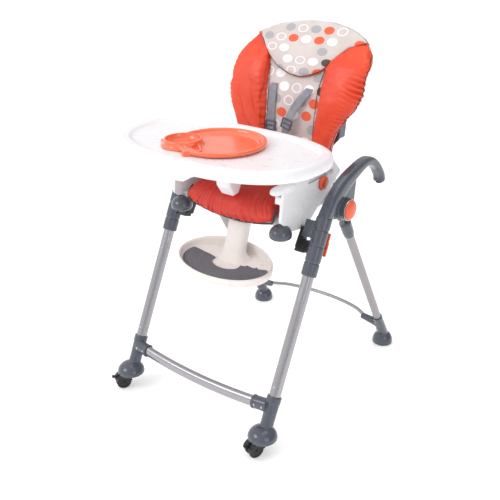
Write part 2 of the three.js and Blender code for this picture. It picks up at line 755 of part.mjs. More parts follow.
// The one on the +X side is slack: it comes forward out of its slot and crosses towards the middle.
function slackStrap() {
  const line = [
    [127, 872],
    [114, 855],
    [106, 833],
    [98, 800],
    [92, 770],
    [90, 735],
    [92, 700],
    [96, 652],
  ];
  const centres = [[48, 73, 874], [44, 69, 855], [20, 45, 828], [2, 27, 800], [-5, 20, 770], [-4, 21, 652]];
  const outline = [
    ...centres.map(([, x, z]) => [x, z + 3]),
    ...[...centres].reverse().map(([x, , z]) => [x, z - 3]),
  ];
  const strip = sideSlab(band(line.map(([y, z]) => [y, z, 1.1]), 10), -40, 110);
  return common(strip, frontSlab(outline, 60, 160));
}

function strapAdjuster(x, y, z) {
  const body = block([x - 15.5, y - 8.5, z - 15], [x + 15.5, y, z + 15]);
  const opening = block([x - 12.5, y - 10.5, z - 7], [x + 12.5, y + 3.5, z - 1]);
  return cut(body, opening);
}

function backrest() {
  addMesh(group, "back_shell", backShell(), PLASTIC_GREY);
  addMesh(group, "back_pad", backPad(), LEATHERETTE);
  addMesh(group, "headrest_pad", headrestPad(), DOTTED_CLOTH);
  addMesh(group, "shoulder_strap_left", straightStrap(), WEBBING);
  addMesh(group, "shoulder_strap_right", slackStrap(), WEBBING);
  addMesh(group, "strap_adjuster_left", strapAdjuster(-60.5, 108.5, 759), PLASTIC_GREY);
  addMesh(group, "strap_adjuster_right", strapAdjuster(9, 89.4, 778), PLASTIC_GREY);
  const handle = join(
    block([-32, 178.4, 828], [32, 184, 852]),
    rod(vec(-32, 183, 852), vec(32, 183, 852), 4.5, 14),
  );
  addMesh(group, "recline_handle", handle, PLASTIC_GREY);
}

// ---------------------------------------------------------------- harness on the seat
function harness() {
  const buckle = flatSlab(roundedOutline(22, 22, 22, 3, 20), 646, 658, 3).translate(0, -22, 0);
  addMesh(group, "harness_buckle", buckle, PLASTIC_GREY);
  addPair("waist_strap", flatSlab([[22.4, -33], [147, 60], [147, 84], [22.4, -9]], 641, 643.2), WEBBING);
  addMesh(group, "crotch_strap", block([-12.5, -100, 641], [12.5, -44.6, 643.2]), WEBBING);
}

// ---------------------------------------------------------------- tray
function inTray(geometry) {
  return geometry.translate(...TRAY_CENTRE);
}

function trayOutline(inset, count = 44) {
  return roundedOutline(TRAY_HALF_WIDTH - inset, TRAY_FRONT - inset, TRAY_BACK - inset,
    TRAY_SQUARENESS, count);
}

// Deck with a raised rim, a hollow skirt under it and a lobe at the front that a hand pulls it by.
function trayShell() {
  const rim = flatSlab(trayOutline(0), -TRAY_RIM, 0, 5);
  const recess = flatSlab(trayOutline(20), TRAY_DECK, 5);
  const hollow = flatSlab(trayOutline(7), -TRAY_RIM - 10, TRAY_DECK - 5);
  const lobeFront = frontSlab(
    [[-72, -24], [72, -24], [70, -32], [52, -46], [26, -53], [-26, -53], [-52, -46], [-70, -32]], -215, -168);
  const lobe = common(lobeFront, flatSlab(trayOutline(2), -60, -20));
  const dimple = rod(vec(0, -215, -26), vec(0, -200.5, -26), 20, 24);
  return inTray(cut(join(cut(rim, recess, hollow), lobe), dimple));
}

// Arm under each end of the tray: it hangs from the tray and runs in the armrest channel.
function trayArm() {
  const runner = block([169, -195, RAIL_LOW_Z + 2], [182.6, 20, RAIL_HIGH_Z - 2]);
  const toe = flatSlab(roundedOutline(29, 20, 20, 3, 24), RAIL_LOW_Z - 2, RAIL_HIGH_Z + 3, 5)
    .translate(161, -213, 0);
  const web = [[-226, 676], [-198, 676], [-196, 725], [-104, 727], [-80, 745], [-70, 779.7], [-240, 779.7]];
  const drop = sideSlab(web, 158, 188, 3);
  return join(runner, toe, drop);
}

function crotchPost() {
  return sideSlab(
    [[-202, 779.7], [-124, 779.7], [-122, 690], [-138, 658], [-160, 656], [-184, 680]], -25, 25, 5);
}

function dish() {
  const base = TRAY_DECK + 0.4;
  const floor = base + 3.6;
  const [x, y] = DISH_CENTRE;
  const [cx, cy] = CUP_CENTRE;
  const turn = (geometry) => geometry.rotateZ(GRIP_TURN).translate(...GRIP_CENTRE, 0);
  const plate = turnedUp([[0, base], [DISH_RADIUS - 6, base], [DISH_RADIUS - 1, -2], [DISH_RADIUS, 2],
    [DISH_RADIUS - 5, 5], [DISH_RADIUS - 11, 4], [DISH_RADIUS - 26, floor], [0, floor]], x, y, 40);
  const cup = turnedUp([[0, base], [CUP_RADIUS + 7, base], [CUP_RADIUS + 4, 0], [CUP_RADIUS, 2],
    [CUP_RADIUS - 1.5, 12], [CUP_RADIUS - 6, 12], [0, 12]], cx, cy, 28);
  const cupWell = turnedUp([[0, floor], [CUP_RADIUS - 12, floor], [CUP_RADIUS - 6, 16], [0, 16]], cx, cy, 28);
  const grip = turn(block([-24.8, -34.4, base], [24.8, 34.4, 5]));
  const gripWell = turn(block([-18, -27.4, floor], [18, 27.4, 9]));
  return inTray(cut(join(plate, cup, grip), cupWell, gripWell));
}

function tray() {
  addMesh(group, "tray", trayShell(), PLASTIC_WHITE);
  addPair("tray_arm", trayArm(), PLASTIC_WHITE);
  addMesh(group, "crotch_post", crotchPost(), PLASTIC_WHITE);
  addMesh(group, "dish", dish(), PLASTIC_ORANGE);
}

// ---------------------------------------------------------------- footrest
function inFootrest(geometry) {
  return geometry.rotateX(FOOTREST_TILT).translate(...FOOTREST_CENTRE);
}

function ellipse(halfWidth, halfDepth, count = 36) {
  return roundedOutline(halfWidth, halfDepth, halfDepth, 2, count);
}

// The stem's footprint: straight sides and a rounded front.
function stemRound(halfWidth) {
  const front = [];
  for (let i = 0; i <= 8; i += 1) {
    const angle = Math.PI + (Math.PI * i) / 8;
    front.push([halfWidth * Math.cos(angle), 8 + (halfWidth - 16) * Math.sin(angle)]);
  }
  return [...front, [halfWidth, 60], [-halfWidth, 60]];
}

function footrestTray() {
  const pan = flatSlab(ellipse(FOOTREST_HALF_WIDTH, FOOTREST_HALF_DEPTH), -26, 0, 4);
  const well = flatSlab(ellipse(FOOTREST_HALF_WIDTH - 9, FOOTREST_HALF_DEPTH - 9), -20, 6);
  const pillar = flatSlab(stemRound(41), -22, -2);
  return inFootrest(join(cut(pan, well), pillar));
}

function footrestStem() {
  const section = new THREE.Shape();
  section.moveTo(-36, 18);
  section.lineTo(36, 18);
  section.lineTo(36, -6);
  section.absellipse(0, -6, 36, 16, 0, Math.PI, true);
  const top = vec(0, -115.6, 540.4);
  const foot = vec(0, -148, 449.6);
  const post = new THREE.ExtrudeGeometry(section, {
    depth: top.distanceTo(foot),
    bevelEnabled: false,
    curveSegments: 8,
  });
  const back = top.clone().sub(foot).normalize();
  const basis = new THREE.Matrix4().makeBasis(vec(1, 0, 0), vec(0, back.z, -back.y), back);
  post.applyMatrix4(basis).translate(foot.x, foot.y, foot.z);
  const lug = join(
    block([-20, -128, 530], [20, -100, FOOTREST_PIVOT[2]]),
    rod(vec(-20, FOOTREST_PIVOT[1], FOOTREST_PIVOT[2]),
      vec(20, FOOTREST_PIVOT[1], FOOTREST_PIVOT[2]), 12, 20),
  );
  const hole = rod(vec(-30, FOOTREST_PIVOT[1], FOOTREST_PIVOT[2]),
    vec(30, FOOTREST_PIVOT[1], FOOTREST_PIVOT[2]), FOOTREST_PIN_RADIUS + RUNNING, ROUND);
  const floor = inFootrest(block([-80, -80, -60], [80, 90, -1.6]));
  return cut(join(post, lug), hole, floor);
}

// Ribbed mat: a crescent in front of and beside the stem.
function footrestMat() {
  const front = ellipse(FOOTREST_HALF_WIDTH - 12, FOOTREST_HALF_DEPTH - 12, 40);
  const pad = flatSlab(front, -19.6, -14);
  const backCut = block([-170, 34, -30], [170, 100, 10]);
  const stemCut = flatSlab(stemRound(45), -30, 10);
  return inFootrest(cut(pad, backCut, stemCut));
}

function footrest() {
  addMesh(group, "footrest_stem", footrestStem(), PLASTIC_CREAM);
  addMesh(group, "footrest_tray", footrestTray(), PLASTIC_CREAM);
  addMesh(group, "footrest_mat", footrestMat(), RUBBER_GREY);
  const pin = rod(vec(-29, FOOTREST_PIVOT[1], FOOTREST_PIVOT[2]),
    vec(29, FOOTREST_PIVOT[1], FOOTREST_PIVOT[2]), FOOTREST_PIN_RADIUS, ROUND);
  addMesh(group, "footrest_pin", pin, STEEL);
}

// ---------------------------------------------------------------- assembly
frontFrame();
caster("right");
caster("left");
rearFrame();
seat();
backrest();
harness();
tray();
footrest();

export default group;
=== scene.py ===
"""Looks of the folding baby high chair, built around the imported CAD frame."""

import json
import math

import bmesh
import bpy
import numpy as np
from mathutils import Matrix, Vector


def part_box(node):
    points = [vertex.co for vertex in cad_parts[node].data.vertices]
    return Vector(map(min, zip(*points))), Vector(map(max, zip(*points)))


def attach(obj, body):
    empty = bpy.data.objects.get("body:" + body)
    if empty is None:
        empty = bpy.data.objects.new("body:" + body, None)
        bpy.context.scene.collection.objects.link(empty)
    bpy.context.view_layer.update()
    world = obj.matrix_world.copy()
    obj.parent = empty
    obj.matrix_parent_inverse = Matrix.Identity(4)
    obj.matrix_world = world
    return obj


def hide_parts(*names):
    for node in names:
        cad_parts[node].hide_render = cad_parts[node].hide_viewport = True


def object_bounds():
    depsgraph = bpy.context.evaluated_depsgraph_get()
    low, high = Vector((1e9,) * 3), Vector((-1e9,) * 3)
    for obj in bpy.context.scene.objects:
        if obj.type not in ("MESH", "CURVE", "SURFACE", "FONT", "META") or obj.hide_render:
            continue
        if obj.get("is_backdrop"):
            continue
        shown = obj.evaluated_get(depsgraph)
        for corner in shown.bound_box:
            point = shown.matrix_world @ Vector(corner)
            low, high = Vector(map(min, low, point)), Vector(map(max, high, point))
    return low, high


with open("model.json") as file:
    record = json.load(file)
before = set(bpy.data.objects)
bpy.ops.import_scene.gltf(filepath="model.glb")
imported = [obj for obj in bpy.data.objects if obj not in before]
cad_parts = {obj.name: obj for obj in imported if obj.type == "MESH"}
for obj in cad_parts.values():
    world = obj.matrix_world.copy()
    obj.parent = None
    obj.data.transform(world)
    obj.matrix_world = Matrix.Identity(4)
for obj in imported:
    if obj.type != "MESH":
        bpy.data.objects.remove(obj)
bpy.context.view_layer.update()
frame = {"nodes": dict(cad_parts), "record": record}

MM = 0.001
PIN_LOW, PIN_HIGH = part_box("hub_pin_right")
SHIFT_Y = (PIN_LOW.y + PIN_HIGH.y) / 2  # the hub plane, y = 0 in the millimetre design frame
SIDES = {"right": 1, "left": -1}
UP, OUT = (0, 0, 1), (1, 0, 0)


def add(name, data):
    """A new object in the scene."""
    holder = bpy.data.objects.new(name, data)
    bpy.context.scene.collection.objects.link(holder)
    return holder


def aim(holder, direction):
    """Turns a camera or a lamp to look along a direction."""
    holder.rotation_mode = "QUATERNION"
    holder.rotation_quaternion = direction.to_track_quat("-Z", "Y")


# ------------------------------------------------------------------ camera
camera = add("camera", bpy.data.cameras.new("camera"))
camera.data.sensor_width = 36
FOCAL_SHARE = 1.4  # focal length over sensor width
camera.data.lens = FOCAL_SHARE * camera.data.sensor_width
camera.location = (1.135, -1.556 + SHIFT_Y, 1.314)
YAW, PITCH = math.radians(37.40), math.radians(25.28)
back = Vector((math.sin(YAW) * math.cos(PITCH), -math.cos(YAW) * math.cos(PITCH), math.sin(PITCH)))
aim(camera, -back)
bpy.context.scene.camera = camera


# ------------------------------------------------------------------ node helpers
class Nodes:
    """Short calls for building the node tree of a new material, or of the world."""

    def __init__(self, owner, shader="Principled BSDF"):
        self.material = bpy.data.materials.new(owner) if isinstance(owner, str) else owner
        self.material.use_nodes = True
        self.tree = self.material.node_tree
        self.shader = self.tree.nodes[shader]

    def new(self, kind, **settings):
        node = self.tree.nodes.new(kind)
        for key, value in settings.items():
            setattr(node, key, value)
        return node

    def link(self, a, b):
        self.tree.links.new(a, b)

    def put(self, socket, value):
        if hasattr(value, "links"):
            self.link(value, socket)
        else:
            socket.default_value = value

    def set(self, **values):
        """Fills the shader's inputs: base_color stands for "Base Color"."""
        for key, value in values.items():
            self.put(self.shader.inputs[key.replace("_", " ").title()], value)

    def filled(self, kind, values, **settings):
        """A new node with some of its inputs filled."""
        node = self.new(kind, **settings)
        for key, value in values.items():
            self.put(node.inputs[key], value)
        return node

    def cloth_place(self):
        return self.new("ShaderNodeAttribute", attribute_name="cloth").outputs["Vector"]

    def wave(self, vector, direction, scale):
        return self.filled("ShaderNodeTexWave", {"Vector": vector, "Scale": scale}, wave_type="BANDS",
                           bands_direction=direction).outputs["Fac"]

    def where(self):
        return self.new("ShaderNodeTexCoord").outputs["Object"]

    def scaled(self, vector, scale):
        return self.filled("ShaderNodeVectorMath", {0: vector, 1: scale}, operation="MULTIPLY").outputs[0]

    def noise(self, vector, scale, detail=2.0, rough=0.5):
        values = {"Vector": vector, "Scale": scale, "Detail": detail, "Roughness": rough}
        return self.filled("ShaderNodeTexNoise", values).outputs["Fac"]

    def math(self, operation, a, b=0.0):
        return self.filled("ShaderNodeMath", {0: a, 1: b}, operation=operation).outputs[0]

    def span(self, value, low, high, to_low=0.0, to_high=1.0):
        values = {"Value": value, "From Min": low, "From Max": high, "To Min": to_low, "To Max": to_high}
        return self.filled("ShaderNodeMapRange", values).outputs["Result"]

    def mix(self, share, a, b):
        values = {"Factor": share, "A": a, "B": b}
        return self.filled("ShaderNodeMix", values, data_type="RGBA").outputs["Result"]

    def bump(self, height, strength, distance, normal=None):
        values = {"Height": height, "Strength": strength, "Distance": distance}
        if normal is not None:
            values["Normal"] = normal
        return self.filled("ShaderNodeBump", values).outputs["Normal"]


def srgb(r, g, b):
    """An sRGB colour of 0-255 values as a linear one."""
    def linear(c):
        c /= 255
        return c / 12.92 if c <= 0.04045 else ((c + 0.055) / 1.055) ** 2.4
    return (linear(r), linear(g), linear(b), 1.0)


def moulded(name, colour, roughness, grain=0.25, coat=0.0, wear=0.6):
    """Injection-moulded plastic: soft flow marks in the colour, spark-eroded grain and paler worn edges."""
    n = Nodes(name)
    at = n.where()
    flow = n.noise(at, 9.0, 3.0)
    dark = tuple(c * (0.96 if wear == 0 else 0.88) for c in colour[:3]) + (1.0,)
    tone = n.mix(n.span(flow, 0.35, 0.7), dark, colour)
    pointy = n.new("ShaderNodeNewGeometry").outputs["Pointiness"]
    edge = n.math("MULTIPLY", n.span(pointy, 0.53, 0.62), n.span(n.noise(at, 160.0, 4.0), 0.45, 0.7))
    worn = tuple(min(1.0, c * 1.25 + 0.02) for c in colour[:3]) + (1.0,)
    smear = n.noise(at, 34.0, 4.0, 0.6)
    fine = n.bump(n.noise(at, 1500.0, 2.0), grain, 0.00006)
    n.set(base_color=n.mix(n.math("MULTIPLY", edge, wear), tone, worn),
          roughness=n.span(smear, 0.3, 0.75, roughness * 0.82, min(1.0, roughness * 1.25)),
          normal=n.bump(n.noise(at, 45.0, 1.0), 0.15, 0.00012, fine), coat_weight=coat, coat_roughness=0.12)
    return n.material


def metal(name, colour, roughness, stretch):
    """Anodised tube: fine drawn lines along it and faint handling marks."""
    n = Nodes(name)
    at = n.where()
    lines = n.noise(n.scaled(at, stretch), 1.0, 3.0, 0.65)
    cloud = n.noise(at, 14.0, 3.0)
    dark = tuple(c * 0.97 for c in colour[:3]) + (1.0,)
    n.set(base_color=n.mix(n.span(n.math("ADD", lines, cloud), 0.7, 1.3), dark, colour),
          roughness=n.span(lines, 0.3, 0.7, roughness * 0.95, roughness * 1.05),
          normal=n.bump(lines, 0.05, 0.00002), metallic=1.0, anisotropic=0.35)
    return n.material


def leatherette(name, low, high):
    """Coated cloth: pebble grain, painted shade in the folds and a painted highlight on raised ridges, with a
    soft plastic sheen.
    """
    n = Nodes(name)
    at = n.where()
    cells = n.filled("ShaderNodeTexVoronoi", {"Vector": at, "Scale": 620.0})
    pebble = n.span(cells.outputs["Distance"], 0.0, 0.6)
    broad = n.noise(at, 7.0, 4.0, 0.55)
    tone = n.mix(n.span(broad, 0.3, 0.72), low, high)
    pointy = n.new("ShaderNodeNewGeometry").outputs["Pointiness"]
    # painted shade: the colour darkens to a deep red where the surface is hollow, in the folds
    fold_shade = n.span(pointy, 0.485, 0.42, 0.0, 0.75)
    tone = n.mix(fold_shade, tone, srgb(160, 28, 22))
    # painted highlight: the colour lightens to a brighter orange on raised ridges
    ridge_highlight = n.span(pointy, 0.53, 0.6, 0.0, 0.3)
    creases = n.noise(n.scaled(at, (1.0, 1.0, 2.2)), 42.0, 5.0, 0.55)
    grain = n.bump(pebble, 0.35, 0.00016)
    n.set(base_color=n.mix(ridge_highlight, tone, srgb(246, 98, 52)),
          roughness=n.span(n.noise(at, 60.0, 3.0), 0.3, 0.7, 0.36, 0.5),
          normal=n.bump(creases, 0.5, 0.0016, grain), coat_weight=0.08, coat_roughness=0.3)
    return n.material


# The print's repeat, row by row: Orange, Grey, White, Dark, Ring, or nothing.
DOT_ROWS = ("WOW.OGRO", "RGOR.W.G", "RWDGWO.W", "..G.D.RW")
DOT_COLOURS = {
    "O": srgb(243, 98, 60), "G": srgb(176, 174, 178), "W": srgb(250, 248, 250),
    "D": srgb(84, 70, 68), "R": srgb(250, 245, 246), ".": srgb(212, 200, 197),
}
DOT_SPACING, DOT_RADIUS, RING_HOLE = 0.043, 0.0168, 0.0168 * 0.78
ROW_SPACING = DOT_SPACING * 0.87
DOT_FLATNESS = 1.2  # the dots are this much wider than high
DOT_EDGE = 0.0006  # half the width of their soft rim


def dotted_cloth():
    """Woven cloth with staggered dots, placed by the attribute "cloth": across, along, 0."""
    n = Nodes("dotted_cloth")
    place = n.cloth_place()
    parts = n.new("ShaderNodeSeparateXYZ")
    n.link(place, parts.inputs[0])
    columns, rows = len(DOT_ROWS[0]), len(DOT_ROWS)
    v = n.math("DIVIDE", parts.outputs["Y"], ROW_SPACING)
    row = n.math("FLOOR", v)
    odd = n.math("MODULO", n.math("ADD", row, 100.0), 2.0)
    u = n.math("ADD", n.math("DIVIDE", parts.outputs["X"], DOT_SPACING), n.math("MULTIPLY", odd, 0.5))
    column = n.math("FLOOR", u)
    du = n.math("MULTIPLY", n.math("SUBTRACT", n.math("SUBTRACT", u, column), 0.5), DOT_SPACING)
    dv = n.math("MULTIPLY", n.math("SUBTRACT", n.math("SUBTRACT", v, row), 0.5), ROW_SPACING)
    cell = n.math("ADD",
                  n.math("MULTIPLY", n.math("FLOORED_MODULO", row, float(rows)), float(columns)),
                  n.math("FLOORED_MODULO", column, float(columns)))
    ramp = n.new("ShaderNodeValToRGB")
    ramp.color_ramp.interpolation = "CONSTANT"
    kinds = "".join(DOT_ROWS)
    stops = ramp.color_ramp.elements
    while len(stops) > 1:
        stops.remove(stops[0])
    for i, kind in enumerate(kinds):
        stop = stops[0] if i == 0 else stops.new(i / len(kinds))
        stop.position = i / len(kinds)
        stop.color = DOT_COLOURS[kind][:3] + ({"R": 0.5, ".": 0.0}.get(kind, 1.0),)
    n.link(n.math("DIVIDE", n.math("ADD", cell, 0.5), float(len(kinds))), ramp.inputs[0])
    dv = n.math("MULTIPLY", dv, DOT_FLATNESS)
    across = n.math("SQRT", n.math("ADD", n.math("MULTIPLY", du, du), n.math("MULTIPLY", dv, dv)))
    disc = n.span(across, DOT_RADIUS - DOT_EDGE, DOT_RADIUS + DOT_EDGE, 1.0, 0.0)
    hole = n.span(across, RING_HOLE - DOT_EDGE, RING_HOLE + DOT_EDGE, 0.0, 1.0)
    ring_kind = n.math("LESS_THAN", ramp.outputs["Alpha"], 0.75)
    shown = n.math("GREATER_THAN", ramp.outputs["Alpha"], 0.25)
    ringed = n.math("MULTIPLY", disc, n.math("MAXIMUM", hole, n.math("SUBTRACT", 1.0, ring_kind)))
    share = n.math("MULTIPLY", ringed, shown)
    at = n.where()
    ground = n.mix(n.span(n.noise(at, 16.0, 3.0), 0.3, 0.7), srgb(206, 193, 190), srgb(220, 210, 207))
    tone = n.mix(share, ground, ramp.outputs["Color"])
    weave = n.math("MULTIPLY", n.wave(place, "X", 300.0), n.wave(place, "Y", 300.0))
    folds = n.noise(at, 26.0, 3.0)
    n.set(base_color=n.mix(n.span(weave, 0.0, 0.5, 0.12, 0.0), tone, srgb(120, 108, 106)),
          roughness=n.span(n.noise(at, 90.0), 0.3, 0.7, 0.7, 0.85),
          normal=n.bump(folds, 0.6, 0.0026, n.bump(weave, 0.3, 0.0002)), sheen_weight=0.12)
    return n.material


def webbing():
    """Grey woven strap with a ribbed face."""
    n = Nodes("webbing")
    place = n.cloth_place()
    weave = n.math("ADD", n.math("MULTIPLY", n.wave(place, "Y", 190.0), 0.6),
                   n.math("MULTIPLY", n.wave(place, "DIAGONAL", 150.0), 0.4))
    at = n.where()
    tone = n.mix(n.span(n.noise(at, 60.0, 3.0), 0.3, 0.7), srgb(128, 128, 138), srgb(152, 152, 161))
    n.set(base_color=n.mix(n.span(weave, 0.0, 0.6, 0.35, 0.0), tone, srgb(88, 88, 98)),
          roughness=n.span(n.noise(at, 200.0), 0.3, 0.7, 0.62, 0.78),
          normal=n.bump(weave, 0.5, 0.0004), sheen_weight=0.2)
    return n.material


LOOKS = {
    "grey": moulded("slate_plastic", srgb(76, 81, 93), 0.24, 0.2, 0.4),
    "black": moulded("black_plastic", srgb(24, 24, 28), 0.38, 0.4),
    "white": moulded("white_plastic", srgb(241, 240, 243), 0.3, 0.03, 0.12, 0.0),
    "cream": moulded("cream_plastic", srgb(240, 232, 227), 0.3, 0.03, 0.15, 0.0),
    "orange": moulded("orange_plastic", srgb(244, 100, 62), 0.28, 0.15, 0.2),
    "dish": moulded("dish_plastic", srgb(249, 116, 76), 0.22, 0.1, 0.5, 0.0),
    "leg": metal("front_tube", srgb(168, 166, 170), 0.27, (160.0, 90.0, 5.0)),
    "rear": metal("rear_tube", srgb(162, 158, 160), 0.3, (160.0, 90.0, 5.0)),
    "bar": metal("crossbar_tube", srgb(168, 166, 170), 0.28, (5.0, 160.0, 160.0)),
    "steel": metal("pin_steel", srgb(205, 205, 208), 0.25, (40.0, 300.0, 300.0)),
    "rubber": moulded("mat_rubber", srgb(112, 110, 117), 0.58, 0.6),
    "leather": leatherette("coral_leatherette", srgb(214, 54, 22), srgb(235, 74, 32)),
    # a darker copy of the coral leatherette: painted shade for the seat, which lies under the tray
    "seat_shade_leather": leatherette("seat_shade_leatherette", srgb(194, 36, 20), srgb(216, 52, 28)),
    "dots": dotted_cloth(),
    "strap": webbing(),
    "piping": moulded("piping", srgb(70, 62, 66), 0.6, 0.5),
    "orange_piping": moulded("orange_piping", srgb(225, 90, 60), 0.6, 0.5),
}
SLOTS = {
    "grey": "grey_plastic", "black": "black_plastic", "white": "white_plastic", "cream": "cream_plastic",
    "orange": "orange_plastic", "dish": "orange_plastic", "leg": "leg_aluminium", "rear": "leg_aluminium",
    "bar": "leg_aluminium", "steel": "pin_steel", "rubber": "mat_rubber", "leather": "leatherette",
    "seat_shade_leather": "leatherette", "dots": "dotted_cloth", "strap": "webbing", "piping": "grey_plastic",
    "orange_piping": "orange_plastic",
}


# ------------------------------------------------------------------ mesh helpers (design millimetres)
def clamp(value, low=0.0, high=1.0):
    return min(high, max(low, value))


def merge(*shapes):
    """One (points, faces) pair from several."""
    points, faces = [], []
    for p, f in shapes:
        faces += [[i + len(points) for i in face] for face in f]
        points += [tuple(q) for q in p]
    return points, faces


def flipped(shape):
    """The shape mirrored to the other side of x = 0."""
    p, f = shape
    return [(-x, y, z) for x, y, z in p], [list(reversed(face)) for face in f]


def loft(rings, caps=True):
    """Closed rings of equal length joined in order, with a fan of triangles over each end."""
    count = len(rings[0])
    points = [tuple(q) for ring in rings for q in ring]
    faces = []
    for r in range(len(rings) - 1):
        for i in range(count):
            j = (i + 1) % count
            a, b = r * count, (r + 1) * count
            faces.append([a + i, a + j, b + j, b + i])
    if caps:
        for ring, turn in ((0, -1), (len(rings) - 1, 1)):
            middle = np.mean(np.array(rings[ring], float), axis=0)
            points.append(tuple(middle))
            centre = len(points) - 1
            for i in range(count):
                j = (i + 1) % count
                face = [ring * count + i, ring * count + j, centre]
                faces.append(face if turn > 0 else face[::-1])
    return points, faces


def basis(direction):
    """Two unit vectors square to a direction, the first as level as it can be along x."""
    d = Vector(direction).normalized()
    side = Vector((1, 0, 0)) if abs(d.x) < 0.9 else Vector((0, 0, 1))
    u = (side - d * side.dot(d)).normalized()
    return u, d.cross(u)


LEAST_RADIUS = 0.02  # keeps a lathe's ends from closing to a point


def lathe(profile, origin, direction, segments=56):
    """A [radius, height] profile turned about an axis."""
    u, v = basis(direction)
    d = Vector(direction).normalized()
    rings = []
    for r, h in profile:
        ring = []
        for i in range(segments):
            a = 2 * math.pi * i / segments
            ring.append(Vector(origin) + d * h + (u * math.cos(a) + v * math.sin(a)) * max(r, LEAST_RADIUS))
        rings.append(ring)
    return loft(rings, caps=True)


def rod(radius, start, end, segments=64):
    start, end = Vector(start), Vector(end)
    length = (end - start).length
    return lathe([(0, 0), (radius, 0), (radius, length), (0, length)], start, end - start, segments)


def arc(radius, base, rise, start, end, count):
    """[radius, height] points of a dome's curve, which starts at the height base."""
    return [(radius * math.cos(a), base + rise * math.sin(a)) for a in np.linspace(start, end, count)]


def rounded(profile, radius=1.5, steps=4):
    """Rounds the corners of a [radius, height] profile, except its two ends."""
    out = [profile[0]]
    for before, here, after in zip(profile, profile[1:], profile[2:]):
        p, a, b = np.array(here, float), np.array(before, float), np.array(after, float)
        la, lb = np.linalg.norm(a - p), np.linalg.norm(b - p)
        reach = min(radius, la * 0.45, lb * 0.45)
        start, end = p + (a - p) / la * reach, p + (b - p) / lb * reach
        for i in range(steps + 1):
            t = i / steps
            out.append(tuple((1 - t) ** 2 * start + 2 * t * (1 - t) * p + t * t * end))
    return out + [profile[-1]]


def smooth_line(points, count):
    """Catmull-Rom through points of any dimension, evenly spaced in parameter."""
    p = np.array(points, float)
    p = np.vstack([2 * p[0] - p[1], p, 2 * p[-1] - p[-2]])
    out = []
    for s in np.linspace(0, len(points) - 1, count):
        i = min(int(s), len(points) - 2)
        t = s - i
        a, b, c, d = p[i:i + 4]
        out.append(0.5 * (2 * b + (c - a) * t + (2 * a - 5 * b + 4 * c - d) * t * t
                          + (3 * b - a - 3 * c + d) * t ** 3))
    return np.array(out)


def tube(path, section, caps=True, side=(1, 0, 0)):
    """A section of [across, up] points swept along a path; it may be a function of the share of the path."""
    path = [Vector(p) for p in path]
    rings = []
    for i, p in enumerate(path):
        ahead = (path[min(i + 1, len(path) - 1)] - path[max(i - 1, 0)]).normalized()
        across = Vector(side)
        across = (across - ahead * across.dot(ahead)).normalized()
        up = ahead.cross(across)
        here = section(i / (len(path) - 1)) if callable(section) else section
        rings.append([p + across * a + up * b for a, b in here])
    return loft(rings, caps)


def circle(radius, count=40):
    turns = [2 * math.pi * i / count for i in range(count)]
    return [(radius * math.cos(t), radius * math.sin(t)) for t in turns]


def superellipse(a, b, power, count=48):
    points = []
    for i in range(count):
        t = 2 * math.pi * i / count
        c, s = math.cos(t), math.sin(t)
        points.append((a * math.copysign(abs(c) ** (2 / power), c),
                       b * math.copysign(abs(s) ** (2 / power), s)))
    return points


def slab(outline, x0, x1):
    """A closed outline of [y, z] points as a plain slab between two values of x."""
    return loft([[(x0, y, z) for y, z in outline], [(x1, y, z) for y, z in outline]])


def box(low, high):
    x0, y0, z0 = low
    x1, y1, z1 = high
    return slab([(y0, z0), (y1, z0), (y1, z1), (y0, z1)], x0, x1)


def tilted(shape, angle, centre):
    """The shape turned about its own x axis, then moved to centre."""
    c, s = math.cos(angle), math.sin(angle)
    points, faces = shape
    cx, cy, cz = centre
    return [(cx + x, cy + y * c - z * s, cz + y * s + z * c) for x, y, z in points], faces


def shifted(shape, by):
    return tilted(shape, 0, by)


def make(name, shape, look, body, stands_for=(), smooth=40):
    """A Blender object from (points, faces) in design millimetres, riding on a CAD body."""
    points, faces = shape
    mesh = bpy.data.meshes.new(name)
    mesh.from_pydata([(x * MM, y * MM + SHIFT_Y, z * MM) for x, y, z in points], [], faces)
    mesh.validate()
    piece = add(name, mesh)
    fix_normals(piece)
    mesh.materials.append(LOOKS[look])
    shade(mesh, smooth)
    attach(piece, body)
    if stands_for:
        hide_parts(*stands_for)
    return piece


def fix_normals(piece):
    work = bmesh.new()
    work.from_mesh(piece.data)
    bmesh.ops.remove_doubles(work, verts=work.verts, dist=1e-6)
    bmesh.ops.recalc_face_normals(work, faces=work.faces)
    work.to_mesh(piece.data)
    work.free()


def shade(mesh, degrees):
    mesh.shade_smooth()
    mesh.set_sharp_from_angle(angle=math.radians(degrees))


def apply(piece, kind, **settings):
    """Adds a modifier and applies it to the mesh."""
    modifier = piece.modifiers.new(kind.lower(), kind)
    for key, value in settings.items():
        setattr(modifier, key, value)
    evaluated = piece.evaluated_get(bpy.context.evaluated_depsgraph_get())
    mesh = bpy.data.meshes.new_from_object(evaluated)
    piece.modifiers.remove(modifier)
    for material in piece.data.materials:
        if not mesh.materials:
            mesh.materials.append(material)
    piece.data = mesh


def fused(name, shapes, look, body, stands_for=(), voxel=1.4, soften=4, cuts=()):
    """Overlapping shapes fused to one skin, with soft fillets where they meet, then cut."""
    piece = make(name, merge(*shapes), look, body, stands_for)
    apply(piece, "REMESH", mode="VOXEL", voxel_size=voxel * MM, use_smooth_shade=True)
    apply(piece, "SMOOTH", factor=0.5, iterations=soften)
    for cut in cuts:
        tool = make(f"{name}_tool", cut, look, body)
        apply(piece, "BOOLEAN", operation="DIFFERENCE", solver="EXACT", object=tool)
        bpy.data.objects.remove(tool)
    shade(piece.data, 50)
    return piece


def pair(name, build, look, body, cuts=(), **options):
    """The same piece on both sides: build() gives the right one's shape, or shapes to be fused."""
    for side, way in SIDES.items():
        sided = flipped if way < 0 else lambda shape: shape
        settings = f"{name}_{side}_look", build(), look, body.format(side), (f"{name}_{side}",)
        if options:
            fused(settings[0], [sided(s) for s in settings[1]], *settings[2:],
                  cuts=[sided(c) for c in cuts], **options)
        else:
            make(settings[0], sided(settings[1]), *settings[2:])


